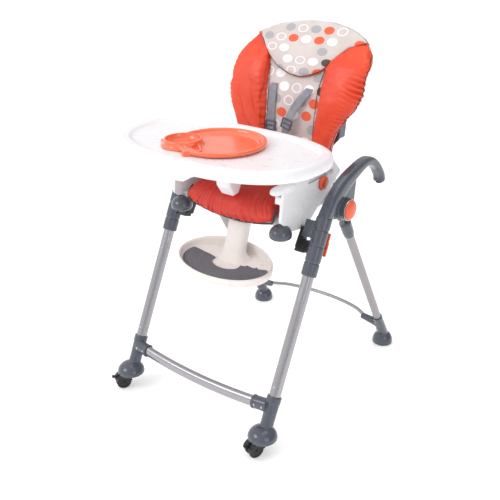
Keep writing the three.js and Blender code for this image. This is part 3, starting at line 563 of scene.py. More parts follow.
# ------------------------------------------------------------------ reference lines (as in the CAD)
LEG_X, HUB_Z = 253.0, 605.0
FOOT_Y = 346.5  # the feet's axes lie this far ahead of and behind the hub
SLEEVE_FOOT = 455  # height of the sleeves' lower ends


def front_leg(z):
    return Vector((LEG_X, -292 + 0.48 * (z - 152), z))


LEG_UP = (front_leg(1) - front_leg(0)).normalized()
HUB = Vector((LEG_X, 0, HUB_Z))
REAR_DOWN = Vector((0, 0.606, -1)).normalized()


def rear_leg(distance):
    return HUB + REAR_DOWN * distance


def rear_at(z):
    return rear_leg((HUB_Z - z) / -REAR_DOWN.z)


# ------------------------------------------------------------------ frame
def leg_tube():
    return rod(16, front_leg(124), front_leg(606))


def dome_profile():
    inner = arc(37.4, 50, 27, 1.35, 0, 12)
    lip = [(37.8, 47.8), (39.5, 47.4), (41, 48.6)]
    return [(0, inner[0][1])] + inner + lip + arc(41, 51, 31, 0, math.pi / 2, 16)


def front_foot():
    dome = lathe(dome_profile(), (LEG_X, -FOOT_Y, 0), UP, 64)
    base = front_leg(64)
    neck = lathe([(0, 0), (19, 0), (18.2, 30), (19.2, 74), (20.4, 80), (20.4, 96), (19, 97.6), (0, 97.6)],
                 base, LEG_UP)
    start, end = Vector((246, -314.1, 129.2)), Vector((199.6, -317.8, 126))
    arm = tube([start, start.lerp(end, 0.86), start.lerp(end, 0.87), end],
               lambda t: superellipse(16.4 + (1.9 if t > 0.5 else 0.4), 19.2 + (0 if t > 0.5 else -1), 2.3),
               side=(0, 1, 0))
    return [dome, neck, arm]


# The arm's bent bar as [y, z, half its depth], and the web under it as [y, z].
HOOK = [(-80, 594, 20.5), (-73, 604, 21), (-55, 622, 22.5), (-37, 639, 23.5), (8, 669.5, 22.5),
        (60, 690, 18), (108, 703.5, 13.5), (140, 703, 12.4), (166, 691, 12), (190, 672, 11.5),
        (214, 643, 11), (221, 622, 10.5)]
HOOK_STEPS = 72
WEB = [(-72, 600), (-30, 586), (-18, 574), (0, 569), (18, 573), (36, 584), (52, 606), (60, 674), (30, 668),
       (-40, 630)]


def arm_housing():
    line = smooth_line(HOOK, HOOK_STEPS)
    hook = tube([(254, y, z) for y, z, _ in line],
                lambda t: superellipse(17.5, line[round(t * (HOOK_STEPS - 1))][2], 3.0, 40))
    web = slab(WEB, 241, 267)
    boss = [(0, 0), (31, 0), (30.5, 19), (27.9, 19), (27.9, 8.5), (0, 8.5)]
    return [hook, web, lathe(rounded(boss, 1.4), (266, 0, HUB_Z), OUT, 64)]


def housing_cuts():
    low, high = 246.0, 260.0
    drum = rod(33.2, (low, 0, HUB_Z), (high, 0, HUB_Z))
    return [drum, box((low, -33, 540), (high, 33, HUB_Z)), box((low, 20, 540), (high, 64, HUB_Z - 2))]


def fold_button():
    dome = [(27, 0), (27, 6)] + arc(27, 6, 8.6, 0.25, 1.5708, 12)
    return lathe([(0, 0)] + rounded(dome, 1.0), (281.3, 0, HUB_Z), OUT, 64)


def quadratic(a, b, c, count):
    a, b, c = (np.array(p, float) for p in (a, b, c))
    return [tuple((1 - t) ** 2 * a + 2 * t * (1 - t) * b + t * t * c) for t in np.linspace(0, 1, count)]


pair("front_leg", leg_tube, "leg", "front_frame")
pair("front_foot", front_foot, "grey", "front_frame", voxel=1.3, soften=5)
pair("arm_housing", arm_housing, "grey", "front_frame", voxel=1.3, soften=8, cuts=housing_cuts())
pair("fold_button", fold_button, "orange", "fold_button_{}")
make("front_crossbar_look",
     tube(quadratic((-222, -316, 127.6), (0, -334, 111), (222, -316, 127.6), 48),
          superellipse(12.8, 15.8, 2.2, 40), side=(0, 1, 0)),
     "bar", "front_frame", ("front_crossbar",))


# ------------------------------------------------------------------ rear frame
REAR_BAR = [(-212, 305, 98), (-185, 322, 96), (-140, 350, 93), (-70, 370, 90), (0, 376, 89), (70, 370, 90),
            (140, 350, 93), (185, 322, 96), (212, 305, 98)]


def rear_tube():
    return rod(12.5, rear_leg(72.4), rear_at(96.6), 48)


def rear_socket():
    tongue = rod(29, (246.5, 0, HUB_Z), (259.5, 0, HUB_Z))
    reach = tube([HUB, rear_leg(66)], superellipse(6.5, 15, 4, 32))
    cup = [(0, 0), (13, 0), (17.2, 7), (16.6, 48), (15.2, 64), (0, 64)]
    return [tongue, reach, lathe(rounded(cup, 2.0), rear_leg(57), REAR_DOWN)]


def rear_foot():
    dome = arc(33.5, 8, 37, 0, math.pi / 2, 14)
    cap = lathe([(0, 0.2), (31.5, 0.2), (33.5, 3)] + dome, (LEG_X, FOOT_Y, 0), UP, 64)
    top, low = rear_at(126), rear_at(34)
    neck = lathe(rounded([(0, 0), (18, 0), (15.8, (top - low).length), (0, (top - low).length)], 1.6),
                 low, top - low)
    start, end = Vector((LEG_X, 306, 92)), Vector((188, 309, 98))
    arm = tube([start, end], lambda t: circle(14 - 4 * t), side=UP)
    return [cap, neck, arm]


pair("rear_leg", rear_tube, "rear", "rear_frame")
pair("rear_socket", rear_socket, "grey", "rear_frame", voxel=1.2, soften=4)
pair("rear_foot", rear_foot, "grey", "rear_frame", voxel=1.2, soften=4)
make("rear_crossbar_look", tube(smooth_line(REAR_BAR, 72), circle(6, 24), side=UP), "rear",
     "rear_frame", ("rear_crossbar",))


# ------------------------------------------------------------------ height sleeves
SLEEVE_HEIGHT, SLEEVE_GROOVES = 146, (38, 84, 128)


def sleeve():
    start = front_leg(SLEEVE_FOOT)
    length = SLEEVE_HEIGHT / LEG_UP.z
    profile = [(16.6, 0), (19.6, 0), (21.6, 3)]
    for h in SLEEVE_GROOVES:
        profile += [(21.7, h - 3.4), (20.0, h - 2.2), (20.0, h + 2.2), (21.7, h + 3.4)]
    profile += [(21.7, length - 3), (20, length), (16.6, length), (16.6, 0)]
    return lathe(rounded(profile, 1.2, 3), start, LEG_UP, 64)


def ring_lathe(shape):
    """Drops the end caps of a lathe whose profile closes on itself."""
    points, faces = shape
    return points, [f for f in faces if len(f) == 4]


def along_leg(shape):
    """From axes on the sleeve's foot (x, along the leg, forward and up) to the design frame."""
    start = front_leg(SLEEVE_FOOT)
    ahead = Vector((0, -LEG_UP.z, LEG_UP.y))
    points, faces = shape
    return [tuple(start + Vector((x, 0, 0)) + LEG_UP * y + ahead * z) for x, y, z in points], faces


pair("height_sleeve", lambda: [ring_lathe(sleeve()), along_leg(box((-44.7, 100, -13), (-15, 147, 16)))],
     "grey", "seat", voxel=1.1, soften=2)


# ------------------------------------------------------------------ carried-over mouldings
BODY_OF = {n: b for b, members in frame["record"]["behaviour"]["bodies"].items() for n in members}


def softened(node, look, voxel=1.4, soften=4):
    """The CAD node's own form with the small radii and fillets a moulding has."""
    piece = add(f"{node}_look", frame["nodes"][node].data.copy())
    piece.data.materials.clear()
    piece.data.materials.append(LOOKS[look])
    apply(piece, "REMESH", mode="VOXEL", voxel_size=voxel * MM, use_smooth_shade=True)
    apply(piece, "SMOOTH", factor=0.5, iterations=soften)
    shade(piece.data, 60)
    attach(piece, BODY_OF[node])
    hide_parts(node)
    return piece


def points_of(piece):
    """The points of a piece's mesh, to be moved in place (in metres)."""
    return [v.co for v in piece.data.vertices]


softened("seat_shell", "white", 2.0, 3)
for p in points_of(softened("crotch_post", "white", 1.4, 22)):  # its foot reaches lower and further ahead
    share = max(0.0, (750 - p.z / MM) / 94)
    p.z -= 0.020 * share
    p.y -= 0.013 * share
for p in points_of(softened("back_shell", "grey", 1.8, 3)):  # drawn in where the wings wrap round its edge
    p.x *= 1 - 0.075 * clamp((p.z / MM - 740) / 50)
softened("recline_handle", "grey", 1.0, 3)

SKIRT_LOW = 0.757  # the tray's lower edge: the front of its arms stays behind it
LEVER_WIDENING, BRACKET_HEIGHT = 2.1, 0.78
for side, way in SIDES.items():
    for p in points_of(softened(f"tray_arm_{side}", "white", 1.3, 3)):
        if p.z < SKIRT_LOW and p.y < SHIFT_Y - 0.150:
            p.z = SKIRT_LOW - (SKIRT_LOW - p.z) * 0.12
    pod = []
    for t in np.linspace(-1, 1, 40):
        full = max(0.03, 1 - abs(t) ** 3) ** 0.5
        pod.append([(way * 190 + a, -182 + 54 * t, 697 - 5 * t + b)
                    for a, b in superellipse(13 * full, 13 * full, 2.4, 40)])
    make(f"tray_toe_{side}", loft(pod), "white", BODY_OF[f"tray_arm_{side}"], smooth=60)
    bracket = points_of(softened(f"seat_bracket_{side}", "black", 1.1, 2))
    low = min(p.z for p in bracket)
    for p in bracket:
        p.z = low + (p.z - low) * BRACKET_HEIGHT
    for p in points_of(softened(f"height_lever_{side}", "orange", 0.8, 3)):
        p.x = way * LEG_X * MM + (p.x - way * LEG_X * MM) * LEVER_WIDENING
        p.y += 0.004
    softened(f"caster_fork_{side}", "black", 0.7, 2)
    softened(f"brake_lever_{side}", "black", 0.6, 2)


# ------------------------------------------------------------------ casters, bumpers, buttons
HEADINGS = {"right": 250, "left": 240}
WHEEL_RADIUS, TRAIL = 22, 27
TREAD = rounded([(3.08, 0.2), (19, 0.2), (WHEEL_RADIUS, 2.2), (WHEEL_RADIUS, 9.2), (19, 11.3), (16.5, 11.3),
                 (15.5, 9.6), (8, 9.2), (7, 10.6), (3.08, 10.6), (3.08, 0.2)], 0.9, 3)
for side, way in SIDES.items():
    turn = math.radians(HEADINGS[side])
    ahead = Vector((math.cos(turn), math.sin(turn), 0))
    axle = Vector((-math.sin(turn), math.cos(turn), 0))
    hub_centre = Vector((way * LEG_X, -FOOT_Y, WHEEL_RADIUS)) + ahead * TRAIL
    for place, out in (("inner", 1), ("outer", -1)):
        wheel = ring_lathe(lathe(TREAD, hub_centre + axle * out * 5, axle * out, 56))
        make(f"caster_wheel_{place}_{side}_look", wheel, "black", f"wheels_{side}",
             (f"caster_wheel_{place}_{side}",))


def bumper():
    dome = [(26, 553), (30, 556.5)] + arc(31, 563, 28, 0, 1.45, 14)
    profile = [(0, 553)] + rounded(dome, 1.6) + [(0, 591)]
    return lathe(profile, (175, -168, 0), UP, 64)


TRAY_BUTTON_X = 190.3  # just proud of the side panel


def tray_button():
    dome = [(19, 0), (19, 6)] + arc(19, 7, 5.6, 0.2, 1.5708, 10)
    return lathe([(0, 0)] + rounded(dome, 0.8), (TRAY_BUTTON_X, 8, 661), OUT, 56)


pair("seat_bumper", bumper, "grey", "seat")
pair("tray_button", tray_button, "orange", "tray_button_{}")


def screw(name, place, direction, radius, look, body):
    """A small domed screw or rivet head with a dimple in its middle."""
    head = lathe([(0, -1.2), (radius, -1.2), (radius, 0.1), (radius * 0.72, 0.9), (radius * 0.42, 1.1),
                  (radius * 0.36, 0.5), (0, 0.45)], place, direction, 28)
    return make(name, head, look, body)


# Name, place, direction, radius, look and body of the right side's screws and rivets.
SCREWS = [
    ("socket_screw", (236, -331.6, 129), (-0.25, -1, 0.35), 3.2, "steel", "front_frame"),
    ("branch_screw", (212, -333.2, 128), (-0.15, -1, 0.15), 3.2, "steel", "front_frame"),
    ("socket_rivet", (269.6, 56, 515), (1, 0.12, 0.1), 3.4, "steel", "rear_frame"),
    ("leg_pin", (LEG_X, front_leg(172).y - 13.2, 181.4), (0.35, -0.85, 0.4), 2.6, "steel", "front_frame"),
    ("panel_screw", (187.5, -35, 621), (1, 0, 0), 2.4, "black", "seat"),
    ("latch_pin", (193.2, -118, 520), (-0.4, -1, 0.1), 3.0, "steel", "seat"),
]
HOOK_PLUG = rounded([(0, 0), (10.4, 0), (10.4, 7), (6, 9), (0, 9)], 1.2)
HUB_RIM = [(27.9, 18.4), (30.2, 18.4), (30.0, 19.6), (28.1, 19.6), (27.9, 18.4)]
for side, way in SIDES.items():
    for name, (x, y, z), (dx, dy, dz), *rest in SCREWS:
        screw(f"{name}_{side}", (way * x, y, z), (way * dx, dy, dz), *rest)
    plug = lathe(HOOK_PLUG, (way * 254, 220, 624), (0, 0.16, -1), 40)
    make(f"hook_plug_{side}", plug, "black", "front_frame")
    rim = ring_lathe(lathe(HUB_RIM, (way * 266, 0, HUB_Z), (way, 0, 0), 64))
    make(f"hub_rim_{side}", rim, "steel", "front_frame")


# ------------------------------------------------------------------ tray and dish
TRAY_CENTRE = (0, -178, 792)
TRAY_REACH = {"side": 302, "rear": 150, "front": 205}
LOBE_DEPTH, LOBE_HALF_WIDTH = 21, 72


def in_tray(shape):
    return shifted(shape, TRAY_CENTRE)


def oval(inset, count=200):
    """The tray's outline, drawn in by inset."""
    return [(x * (TRAY_REACH["side"] - inset), y * (TRAY_REACH["rear" if y > 0 else "front"] - inset))
            for x, y in superellipse(1, 1, 2.5, count)]


def lobe_drop(x, y, low):
    """How far the front of the skirt hangs below its edge, for the hand lobe."""
    share = clamp((LOBE_HALF_WIDTH - abs(x)) / 46)
    return LOBE_DEPTH * (share * share * (3 - 2 * share)) * low if y < -150 else 0


# [inset, height, share of the lobe's drop]
TRAY_PROFILE = [(150, -7.6, 0), (40, -7.3, 0), (31, -6.6, 0), (26, -4.6, 0), (22.5, -1.6, 0), (19, -0.4, 0),
                (16, -0.9, 0), (14.5, -1.0, 0), (11, 0.2, 0), (6, 0.2, 0), (2, -1.2, 0), (-1.4, -4.0, 0),
                (-3.8, -8.4, 0), (-5, -14, 0), (-4.8, -20, 0.2), (-3.4, -26, 0.7), (-0.8, -30.4, 1),
                (1.6, -32, 1), (4.4, -31.2, 1), (6.6, -26, 0.8), (7.6, -16, 0), (10, -12.4, 0),
                (150, -12.0, 0)]
tray_rings = [[(x, y, z - lobe_drop(x, y, low)) for x, y in oval(inset)] for inset, z, low in TRAY_PROFILE]
make("tray_look", in_tray(loft(tray_rings)), "white", "tray", ("tray",), smooth=45)
knob_rim = lathe([(0, 0.4), (17, 0.4), (18.4, 1.4), (20.4, 1.6), (21.4, 0.8), (21.8, -1.5), (0, -1.5)],
                 (0, -383.2, 764.5), (0, -1, 0), 48)
make("tray_pull", knob_rim, "white", "tray")
LATCH = [(262, -262, 772), (282, -230, 773), (293, -196, 774), (297, -165, 775)]
for side, way in SIDES.items():
    latch = tube([(way * x, y, z) for x, y, z in LATCH], superellipse(5.0, 9.0, 3.2, 24), side=(way, 0, 0))
    make(f"tray_latch_{side}", latch, "white", "tray")

# Dish: a shallow plate with a rounded rim, a cup ring over its edge and a square well turned to the front.
DECK = -6.6
PLATE_PROFILE = [(0, DECK), (110, DECK), (115, -5.4), (119, -2), (120.4, 3), (119, 6.8), (115.4, 8.4),
                 (111.6, 7.4), (109.2, 4.2), (107.4, 0.6), (104, -0.8), (99, -1.2), (96.6, -2.8), (93, -3.4),
                 (0, -3.4)]
CUP_PROFILE = [(0, DECK), (57, DECK), (58.6, -5.2), (57.2, -3.4), (53.5, -1.4), (51.2, 1.6), (49.8, 10.4),
               (48.6, 12.6), (46.6, 13.0), (45.0, 11.8), (0, 11.6)]
HOLLOW_PROFILE = [(0, -3.2), (37.5, -3.2), (40, -1.8), (44.6, 9), (45.8, 18), (0, 18)]
PLATE_MIDDLE, CUP_MIDDLE, WELL_MIDDLE, WELL_TURN = (9, -29, 0), (-70, -87, 0), (-13.5, -120), 0.842
plate = lathe(PLATE_PROFILE, PLATE_MIDDLE, UP, 128)
cup = lathe(CUP_PROFILE, CUP_MIDDLE, UP, 96)
cup_hollow = lathe(HOLLOW_PROFILE, CUP_MIDDLE, UP, 96)
tip = tube([(-118, -101, -3.4), (-131, -97, -3.0), (-139, -94.5, -3.2)],
           lambda t: superellipse(9 - 5 * t, 3.0, 2.4, 20), side=(0, 1, 0))


def turned_box(half_x, half_y, low, high, grow=0.0):
    """A square-cornered well, turned about +Z to point at the front corner."""
    c, s = math.cos(WELL_TURN), math.sin(WELL_TURN)
    rings = []
    for z, extra in ((low, 0), (low + 0.6 * (high - low), grow * 0.6), (high, grow)):
        rings.append([(WELL_MIDDLE[0] + x * c - y * s, WELL_MIDDLE[1] + x * s + y * c, z)
                      for x, y in superellipse(half_x + extra, half_y + extra, 9, 64)])
    return loft(rings)


dish = [in_tray(s) for s in (plate, cup, tip, turned_box(26, 35.5, DECK, 6.5, -1.6))]
hollows = [in_tray(s) for s in (cup_hollow, turned_box(18, 27.4, -3.2, 9, 2.4))]
fused("dish_look", dish, "dish", "dish", ("dish",), 1.1, 3, cuts=hollows)


# ------------------------------------------------------------------ footrest
FOOTREST_TILT, FOOTREST_CENTRE = 0.19, (0, -191, 450)
# [inset, height]
REST_PROFILE = [(92, -20), (20, -20), (12, -19), (9, -16), (8, -6), (7, 0.4), (4.6, 2.4), (1.8, 1.6), (0, -2),
                (0.4, -8), (3.5, -20), (8, -25), (14, -26.4), (92, -26.4)]


def in_footrest(shape):
    return tilted(shape, FOOTREST_TILT, FOOTREST_CENTRE)


rings = []
for inset, z in REST_PROFILE:
    ring = []
    for x, y in superellipse(157 - inset * 0.98, 92 - inset * 0.98, 2.0, 128):
        lift = 9 * max(0.0, y / 92) ** 1.5 if -18 < z and inset < 60 else 0
        ring.append((x, y, z + lift))
    rings.append(ring)
make("footrest_tray_look", in_footrest(loft(rings)), "cream", "footrest", ("footrest_tray",), smooth=50)


def mat():
    """Crescent of concentric ribs round the stem; its two ends wave."""
    rings = []
    steps, turns = 44, 96
    for k in range(turns + 1):
        a = math.radians(-198 + 216 * k / turns)
        c, s = math.cos(a), math.sin(a)
        wave = 3.5 * math.sin(k * 0.9) if k in (0, turns) else 0
        row_top, row_under = [], []
        for i in range(steps + 1):
            t = i / steps
            inner = np.array((47 * c, 4 + 26 * s))
            outer = np.array((144 * c, 79 * s))
            p = inner + (outer - inner) * t
            rib = 0.5 + 0.5 * math.cos(2 * math.pi * t * 9)
            edge = min(1.0, 6 * min(t, 1 - t))
            row_top.append((p[0], p[1] + wave * math.sin(t * 20), -16.4 + 2.4 * rib * edge))
            row_under.append((p[0], p[1] + wave * math.sin(t * 20), -19.7))
        rings.append(row_top + row_under[::-1])
    return loft(rings)


make("footrest_mat_look", in_footrest(mat()), "rubber", "footrest", ("footrest_mat",), smooth=60)


def stem():
    """Half-round post that flares smoothly into the tray floor, with the hinge lug at its top."""
    top, foot = np.array((0, -117, 539.5)), np.array((0, -150.5, 437))
    post = []
    for t in np.linspace(0, 1, 40):
        flare = max(0.0, (t - 0.62) / 0.38) ** 2.6
        _, y, z = top + (foot - top) * t
        post.append([(x, y + d * 0.94 + flare * 5, z + d * (-0.34 + 0.53 * t ** 3))
                     for x, d in superellipse(35 + 20 * flare, 19.5 + 16 * flare, 2.5, 72)])
    lug = tube([(0, -114, 530), (0, -113, 572)], superellipse(19.6, 12.5, 3, 40))
    eye = rod(12, (-19.5, -112, 572), (19.5, -112, 572), 40)
    return [loft(post), lug, eye]


fused("footrest_stem_look", stem(), "cream", "footrest", ("footrest_stem",), 1.2, 4)


# ------------------------------------------------------------------ soft goods
def line_lengths(line):
    """The length along a line at each of its points."""
    return np.concatenate([[0], np.cumsum(np.linalg.norm(np.diff(line, axis=0), axis=1))])


BACK_LINE = [(112, 634), (112, 680), (116, 742), (122, 820), (133, 880), (152, 925), (174, 968), (199, 1010),
             (222, 1048)]
BACK_FINE = smooth_line(BACK_LINE, 241)
BACK_TANGENT = np.gradient(BACK_FINE, axis=0)
BACK_TANGENT /= np.linalg.norm(BACK_TANGENT, axis=1)[:, None]
LENGTHS = line_lengths(BACK_FINE)


def on_back(x, z, behind):
    """A point of the backrest: z picks the place on its front line, behind is square to it."""
    y = np.interp(z, BACK_FINE[:, 1], BACK_FINE[:, 0])
    ty = np.interp(z, BACK_FINE[:, 1], BACK_TANGENT[:, 0])
    tz = np.interp(z, BACK_FINE[:, 1], BACK_TANGENT[:, 1])
    return (x, y + behind * tz, z - behind * ty)


# The loose cover hangs a little askew: half-widths and inner edges of its [+X, -X] sides against height.
COVER_Z = [630, 652, 722, 745, 776, 810, 836, 860, 884, 926, 954, 985, 1003, 1017, 1032, 1043, 1048]
COVER_RIGHT = [140, 142, 148, 156, 171, 194, 214, 226, 230, 229, 231, 219, 206, 185, 150, 106, 66]
COVER_LEFT = [142, 150, 174, 190, 202, 215, 222, 226, 224, 217, 205, 178, 156, 128, 92, 38, -20]
INNER_Z = [640, 745, 820, 870, 938, 968, 1000, 1012]
INNER_RIGHT = [82, 86, 88, 88, 96, 118, 150, 172]
INNER_LEFT = [70, 76, 77, 79, 94, 102, 122, 132]


def cover_edge(z, way):
    return float(np.interp(z, COVER_Z, COVER_RIGHT if way > 0 else COVER_LEFT))


def wing_inner(z, way):
    return float(np.interp(z, INNER_Z, INNER_RIGHT if way > 0 else INNER_LEFT))


def bumpy(points, scale, seed):
    """Smooth noise in -1..1 at millimetre points, from sums of turned waves."""
    p = np.asarray(points, float) / scale
    rng = np.random.default_rng(seed)
    total = np.zeros(len(p))
    octaves, waves = 5, 5
    for octave in range(octaves):
        for _ in range(waves):
            d = rng.normal(size=3)
            d /= np.linalg.norm(d)
            total += np.sin(p @ d * 2 ** (octave * 0.6) * 2.2 + rng.uniform(0, 6.28)) * 0.6 ** octave
    return total / waves


def vertex_values(piece, key):
    values = np.zeros(len(piece.data.vertices) * 3, np.float32)
    piece.data.vertices.foreach_get(key, values)
    return values.reshape(-1, 3).astype(float)


def mesh_points(piece):
    """The mesh's points in design millimetres."""
    co = vertex_values(piece, "co")
    co[:, 1] -= SHIFT_Y
    return co / MM


def set_points(piece, points):
    co = np.asarray(points, float) * MM
    co[:, 1] += SHIFT_Y
    piece.data.vertices.foreach_set("co", co.astype(np.float32).ravel())
    piece.data.update()


def push(piece, amount):
    """Moves each point along its normal, by amount(points) millimetres."""
    points = mesh_points(piece)
    set_points(piece, points + vertex_values(piece, "normal") * amount(points)[:, None])


def print_on(piece, across, along):
    """Stores where the cloth's print and weave lie, as two lengths in metres for each point."""
    attribute = piece.data.attributes.new("cloth", "FLOAT_VECTOR", "POINT")
    values = np.stack([across, along, np.zeros(len(across))], 1)
    attribute.data.foreach_set("vector", values.astype(np.float32).ravel())


PRINT_SHIFT = 0.006


def print_back(piece, stretch):
    points = mesh_points(piece)
    along = np.interp(points[:, 2], BACK_FINE[:, 1], LENGTHS)
    print_on(piece, points[:, 0] * MM + PRINT_SHIFT, along * MM * stretch)


def swell(piece, voxel, pressure, cap, frames=20):
    """Blows the piece up a little as cloth, with no point moving more than cap millimetres."""
    apply(piece, "REMESH", mode="VOXEL", voxel_size=voxel * MM, use_smooth_shade=True)
    before = mesh_points(piece)
    cloth = piece.modifiers.new("cloth", "CLOTH")
    settings = {"use_pressure": True, "uniform_pressure_force": pressure, "quality": 5, "mass": 0.25,
                "tension_stiffness": 12, "compression_stiffness": 12, "bending_stiffness": 0.4,
                "shrink_min": -0.04}
    for key, value in settings.items():
        setattr(cloth.settings, key, value)
    cloth.settings.effector_weights.gravity = 0
    cloth.collision_settings.use_collision = False
    cloth.point_cache.frame_start, cloth.point_cache.frame_end = 1, frames
    scene = bpy.context.scene
    for f in range(1, frames + 1):
        scene.frame_set(f)
    evaluated = piece.evaluated_get(bpy.context.evaluated_depsgraph_get())
    mesh = bpy.data.meshes.new_from_object(evaluated)
    piece.modifiers.remove(cloth)
    piece.data = mesh
    after = mesh_points(piece)
    moved = after - before
    size = np.linalg.norm(moved, axis=1)
    limit = np.minimum(1.0, cap / np.maximum(size, 1e-9))
    set_points(piece, before + moved * limit[:, None])
    scene.frame_set(1)


def refine(piece, levels=1):
    apply(piece, "SUBSURF", levels=levels, render_levels=levels)
    shade(piece.data, 75)


def padded_piece(name, shape, look, body, stands_for):
    piece = make(name, shape, look, body, stands_for, smooth=75)
    return piece


def lopsided(low, high, power, count):
    """A superellipse between two values of x instead of about 0."""
    middle, reach = (low + high) / 2, (high - low) / 2
    return [(middle + reach * x, n) for x, n in superellipse(1, 1, power, count)]


CORE_THICK = 15.0  # half its thickness
CROWN, WRAP, WRAP_EDGE = 17, 24, 14  # how far a wing stands to the front and wraps behind


def core():
    """The backrest's dotted cloth, over its whole front and up to its rounded top."""
    rings = []
    for z in np.linspace(637, 1046, 84):
        draw_in = 17 if z < 960 else max(2, 17 - (z - 960) / 2)
        left, right = cover_edge(z, -1) - draw_in, cover_edge(z, 1) - draw_in
        thick = CORE_THICK * math.sqrt(clamp(min((z - 630) / 14, (1048.5 - z) / 12), 0.06))
        rings.append([on_back(x, z, 12 + n * thick) for x, n in lopsided(-left, right, 3.4, 96)])
    return loft(rings)


back_cloth = padded_piece("back_cloth", core(), "dots", "backrest", ("back_pad",))


def wing(way):
    """Padded side: crowned to the front, wrapped round the shell's edge, thin under the flap."""
    rings = []
    for z in np.linspace(645, 1006, 92):
        inner, outer = wing_inner(z, way), cover_edge(z, way) - 1
        foot = math.sqrt(clamp((z - 638) / 30, 0.05))
        front = CROWN * foot * min(1.0, max(0.1, (984 - z) / 50) ** 0.7)
        behind = foot * clamp((1012 - z) / 30, 0.2)
        middle, reach = (inner + outer) / 2, (outer - inner) / 2
        ring = []
        for x, n in superellipse(1, 1, 2.15, 80):
            squarer = abs(n) ** 0.62 * math.copysign(1, n) if x > 0 else n
            wrap = WRAP + WRAP_EDGE * max(0.0, x) ** 2
            depth = wrap * squarer * behind if n > 0 else front * squarer
            ring.append(on_back(middle + x * reach, z, -5 + depth))
        rings.append(ring)
    shape = loft(rings)
    return shape if way > 0 else flipped(shape)


def wing_folds(points, way):
    """Gathers along the elastic outer edge, creases running up from the lower inner corner."""
    x, z = points[:, 0] * way, points[:, 2]
    inner = np.array([wing_inner(v, way) for v in z])
    outer = np.array([cover_edge(v, way) for v in z])
    share = np.clip((x - inner) / np.maximum(outer - inner, 1), 0, 1)
    jitter = bumpy(points, 60, 3 if way > 0 else 4)
    gather = np.sin(2 * math.pi * (z + 0.35 * x) / 13.5 + 3.0 * jitter) * (0.65 + 0.7 * bumpy(points, 40, 9))
    start, size = (0.56, 4.2) if way > 0 else (0.82, 1.3)
    edge = np.clip((share - start) / (1 - start), 0, 1) ** 1.3
    edge *= np.clip((z - 750) / 60, 0, 1) * np.clip((975 - z) / 40, 0, 1)
    slant = (z - 700) * 0.42 - (x - inner) * (1.5 if way < 0 else 0.8)
    crease = 1 - np.abs(np.sin(slant / (23 if way < 0 else 21) + 1.7 * bumpy(points, 85, 7)))
    top = 900 if way > 0 else 915
    area = np.clip(1 - np.abs(share - 0.4) / 0.55, 0, 1) * np.clip((top - z) / 110, 0, 1)
    inner_edge = np.clip(1 - share / 0.3, 0, 1) * np.sin(2 * math.pi * z / 19 + 2.6 * jitter)
    broad = 2.8 * bumpy(points, 90, 10) + 1.5 * bumpy(points, 42, 11) + 0.5 * bumpy(points, 18, 12)
    return size * gather * edge - 6.0 * crease ** 4 * area + 0.9 * inner_edge + broad


wings = {}
for side, way in SIDES.items():
    piece = wings[side] = padded_piece(f"back_wing_{side}", wing(way), "leather", "backrest", ())
    swell(piece, 5.0, 3.0, 6)
    refine(piece)
    push(piece, lambda p, w=way: wing_folds(p, w))


# Headrest: a flap of the dotted cloth over the top, its rounded lower edge hanging free.
FLAP_Z = [905, 907, 912, 923, 938, 951, 968, 988, 1003]
FLAP_RIGHT = [20, 38, 56, 82, 101, 115, 131, 153, 206]
FLAP_LEFT = [-14, 6, 28, 58, 82, 98, 116, 135, 157]
FLAP_OPEN = 1003  # below this height the flap lies over the wings, above it they share the top edge
FLAP_LIFT = 5.5


def flap_side(z, way):
    if z > FLAP_OPEN:
        return cover_edge(z, way) + 1
    return float(np.interp(z, FLAP_Z, FLAP_RIGHT if way > 0 else FLAP_LEFT))


def flap():
    rings = []
    for z in np.concatenate([np.linspace(905, 930, 16), np.linspace(934, 1047, 40)]):
        left, right = flap_side(z, -1), flap_side(z, 1)
        top = math.sqrt(clamp((1049 - z) / 14, 0.05))
        thick = 8.0 * clamp((z - 902) / 10, 0.3) * top
        lift = FLAP_LIFT * clamp((z - 940) / 30) * clamp((1040 - z) / 30)
        middle, reach = (right - left) / 2, (right + left) / 2
        rings.append([on_back(x, z, -10.5 + n * thick - 3 * (1 - ((x - middle) / max(reach, 1)) ** 2)
                              - lift * min(1.0, ((x - middle) / max(reach, 1)) ** 2))
                      for x, n in lopsided(-left, right, 3.4, 96)])
    return loft(rings)


headrest = padded_piece("headrest_flap", flap(), "dots", "backrest", ("headrest_pad",))
refine(headrest)
push(headrest, lambda p: 1.5 * bumpy(p, 60, 21) + 0.8 * bumpy(p, 24, 23))
print_back(headrest, 1.2)
refine(back_cloth)
push(back_cloth, lambda p: 1.8 * bumpy(p, 50, 22) + 0.8 * bumpy(p, 22, 24))
print_back(back_cloth, 1.0)


def piping(name, path, radius, look, body):
    """A sewn cord along a seam."""
    cord = tube([tuple(p) for p in path], circle(radius, 12), side=(0.2, 0.3, 0.9))
    return make(name, cord, look, body, smooth=80)


def flap_edge(lift):
    right = [(x, z) for x, z in zip(FLAP_RIGHT, FLAP_Z)]
    left = [(-x, z) for x, z in zip(FLAP_LEFT, FLAP_Z)]
    return [on_back(x, z - 0.6, -11.5 + lift - FLAP_LIFT * clamp((z - 940) / 30))
            for x, z in smooth_line(left[::-1] + right, 110)]


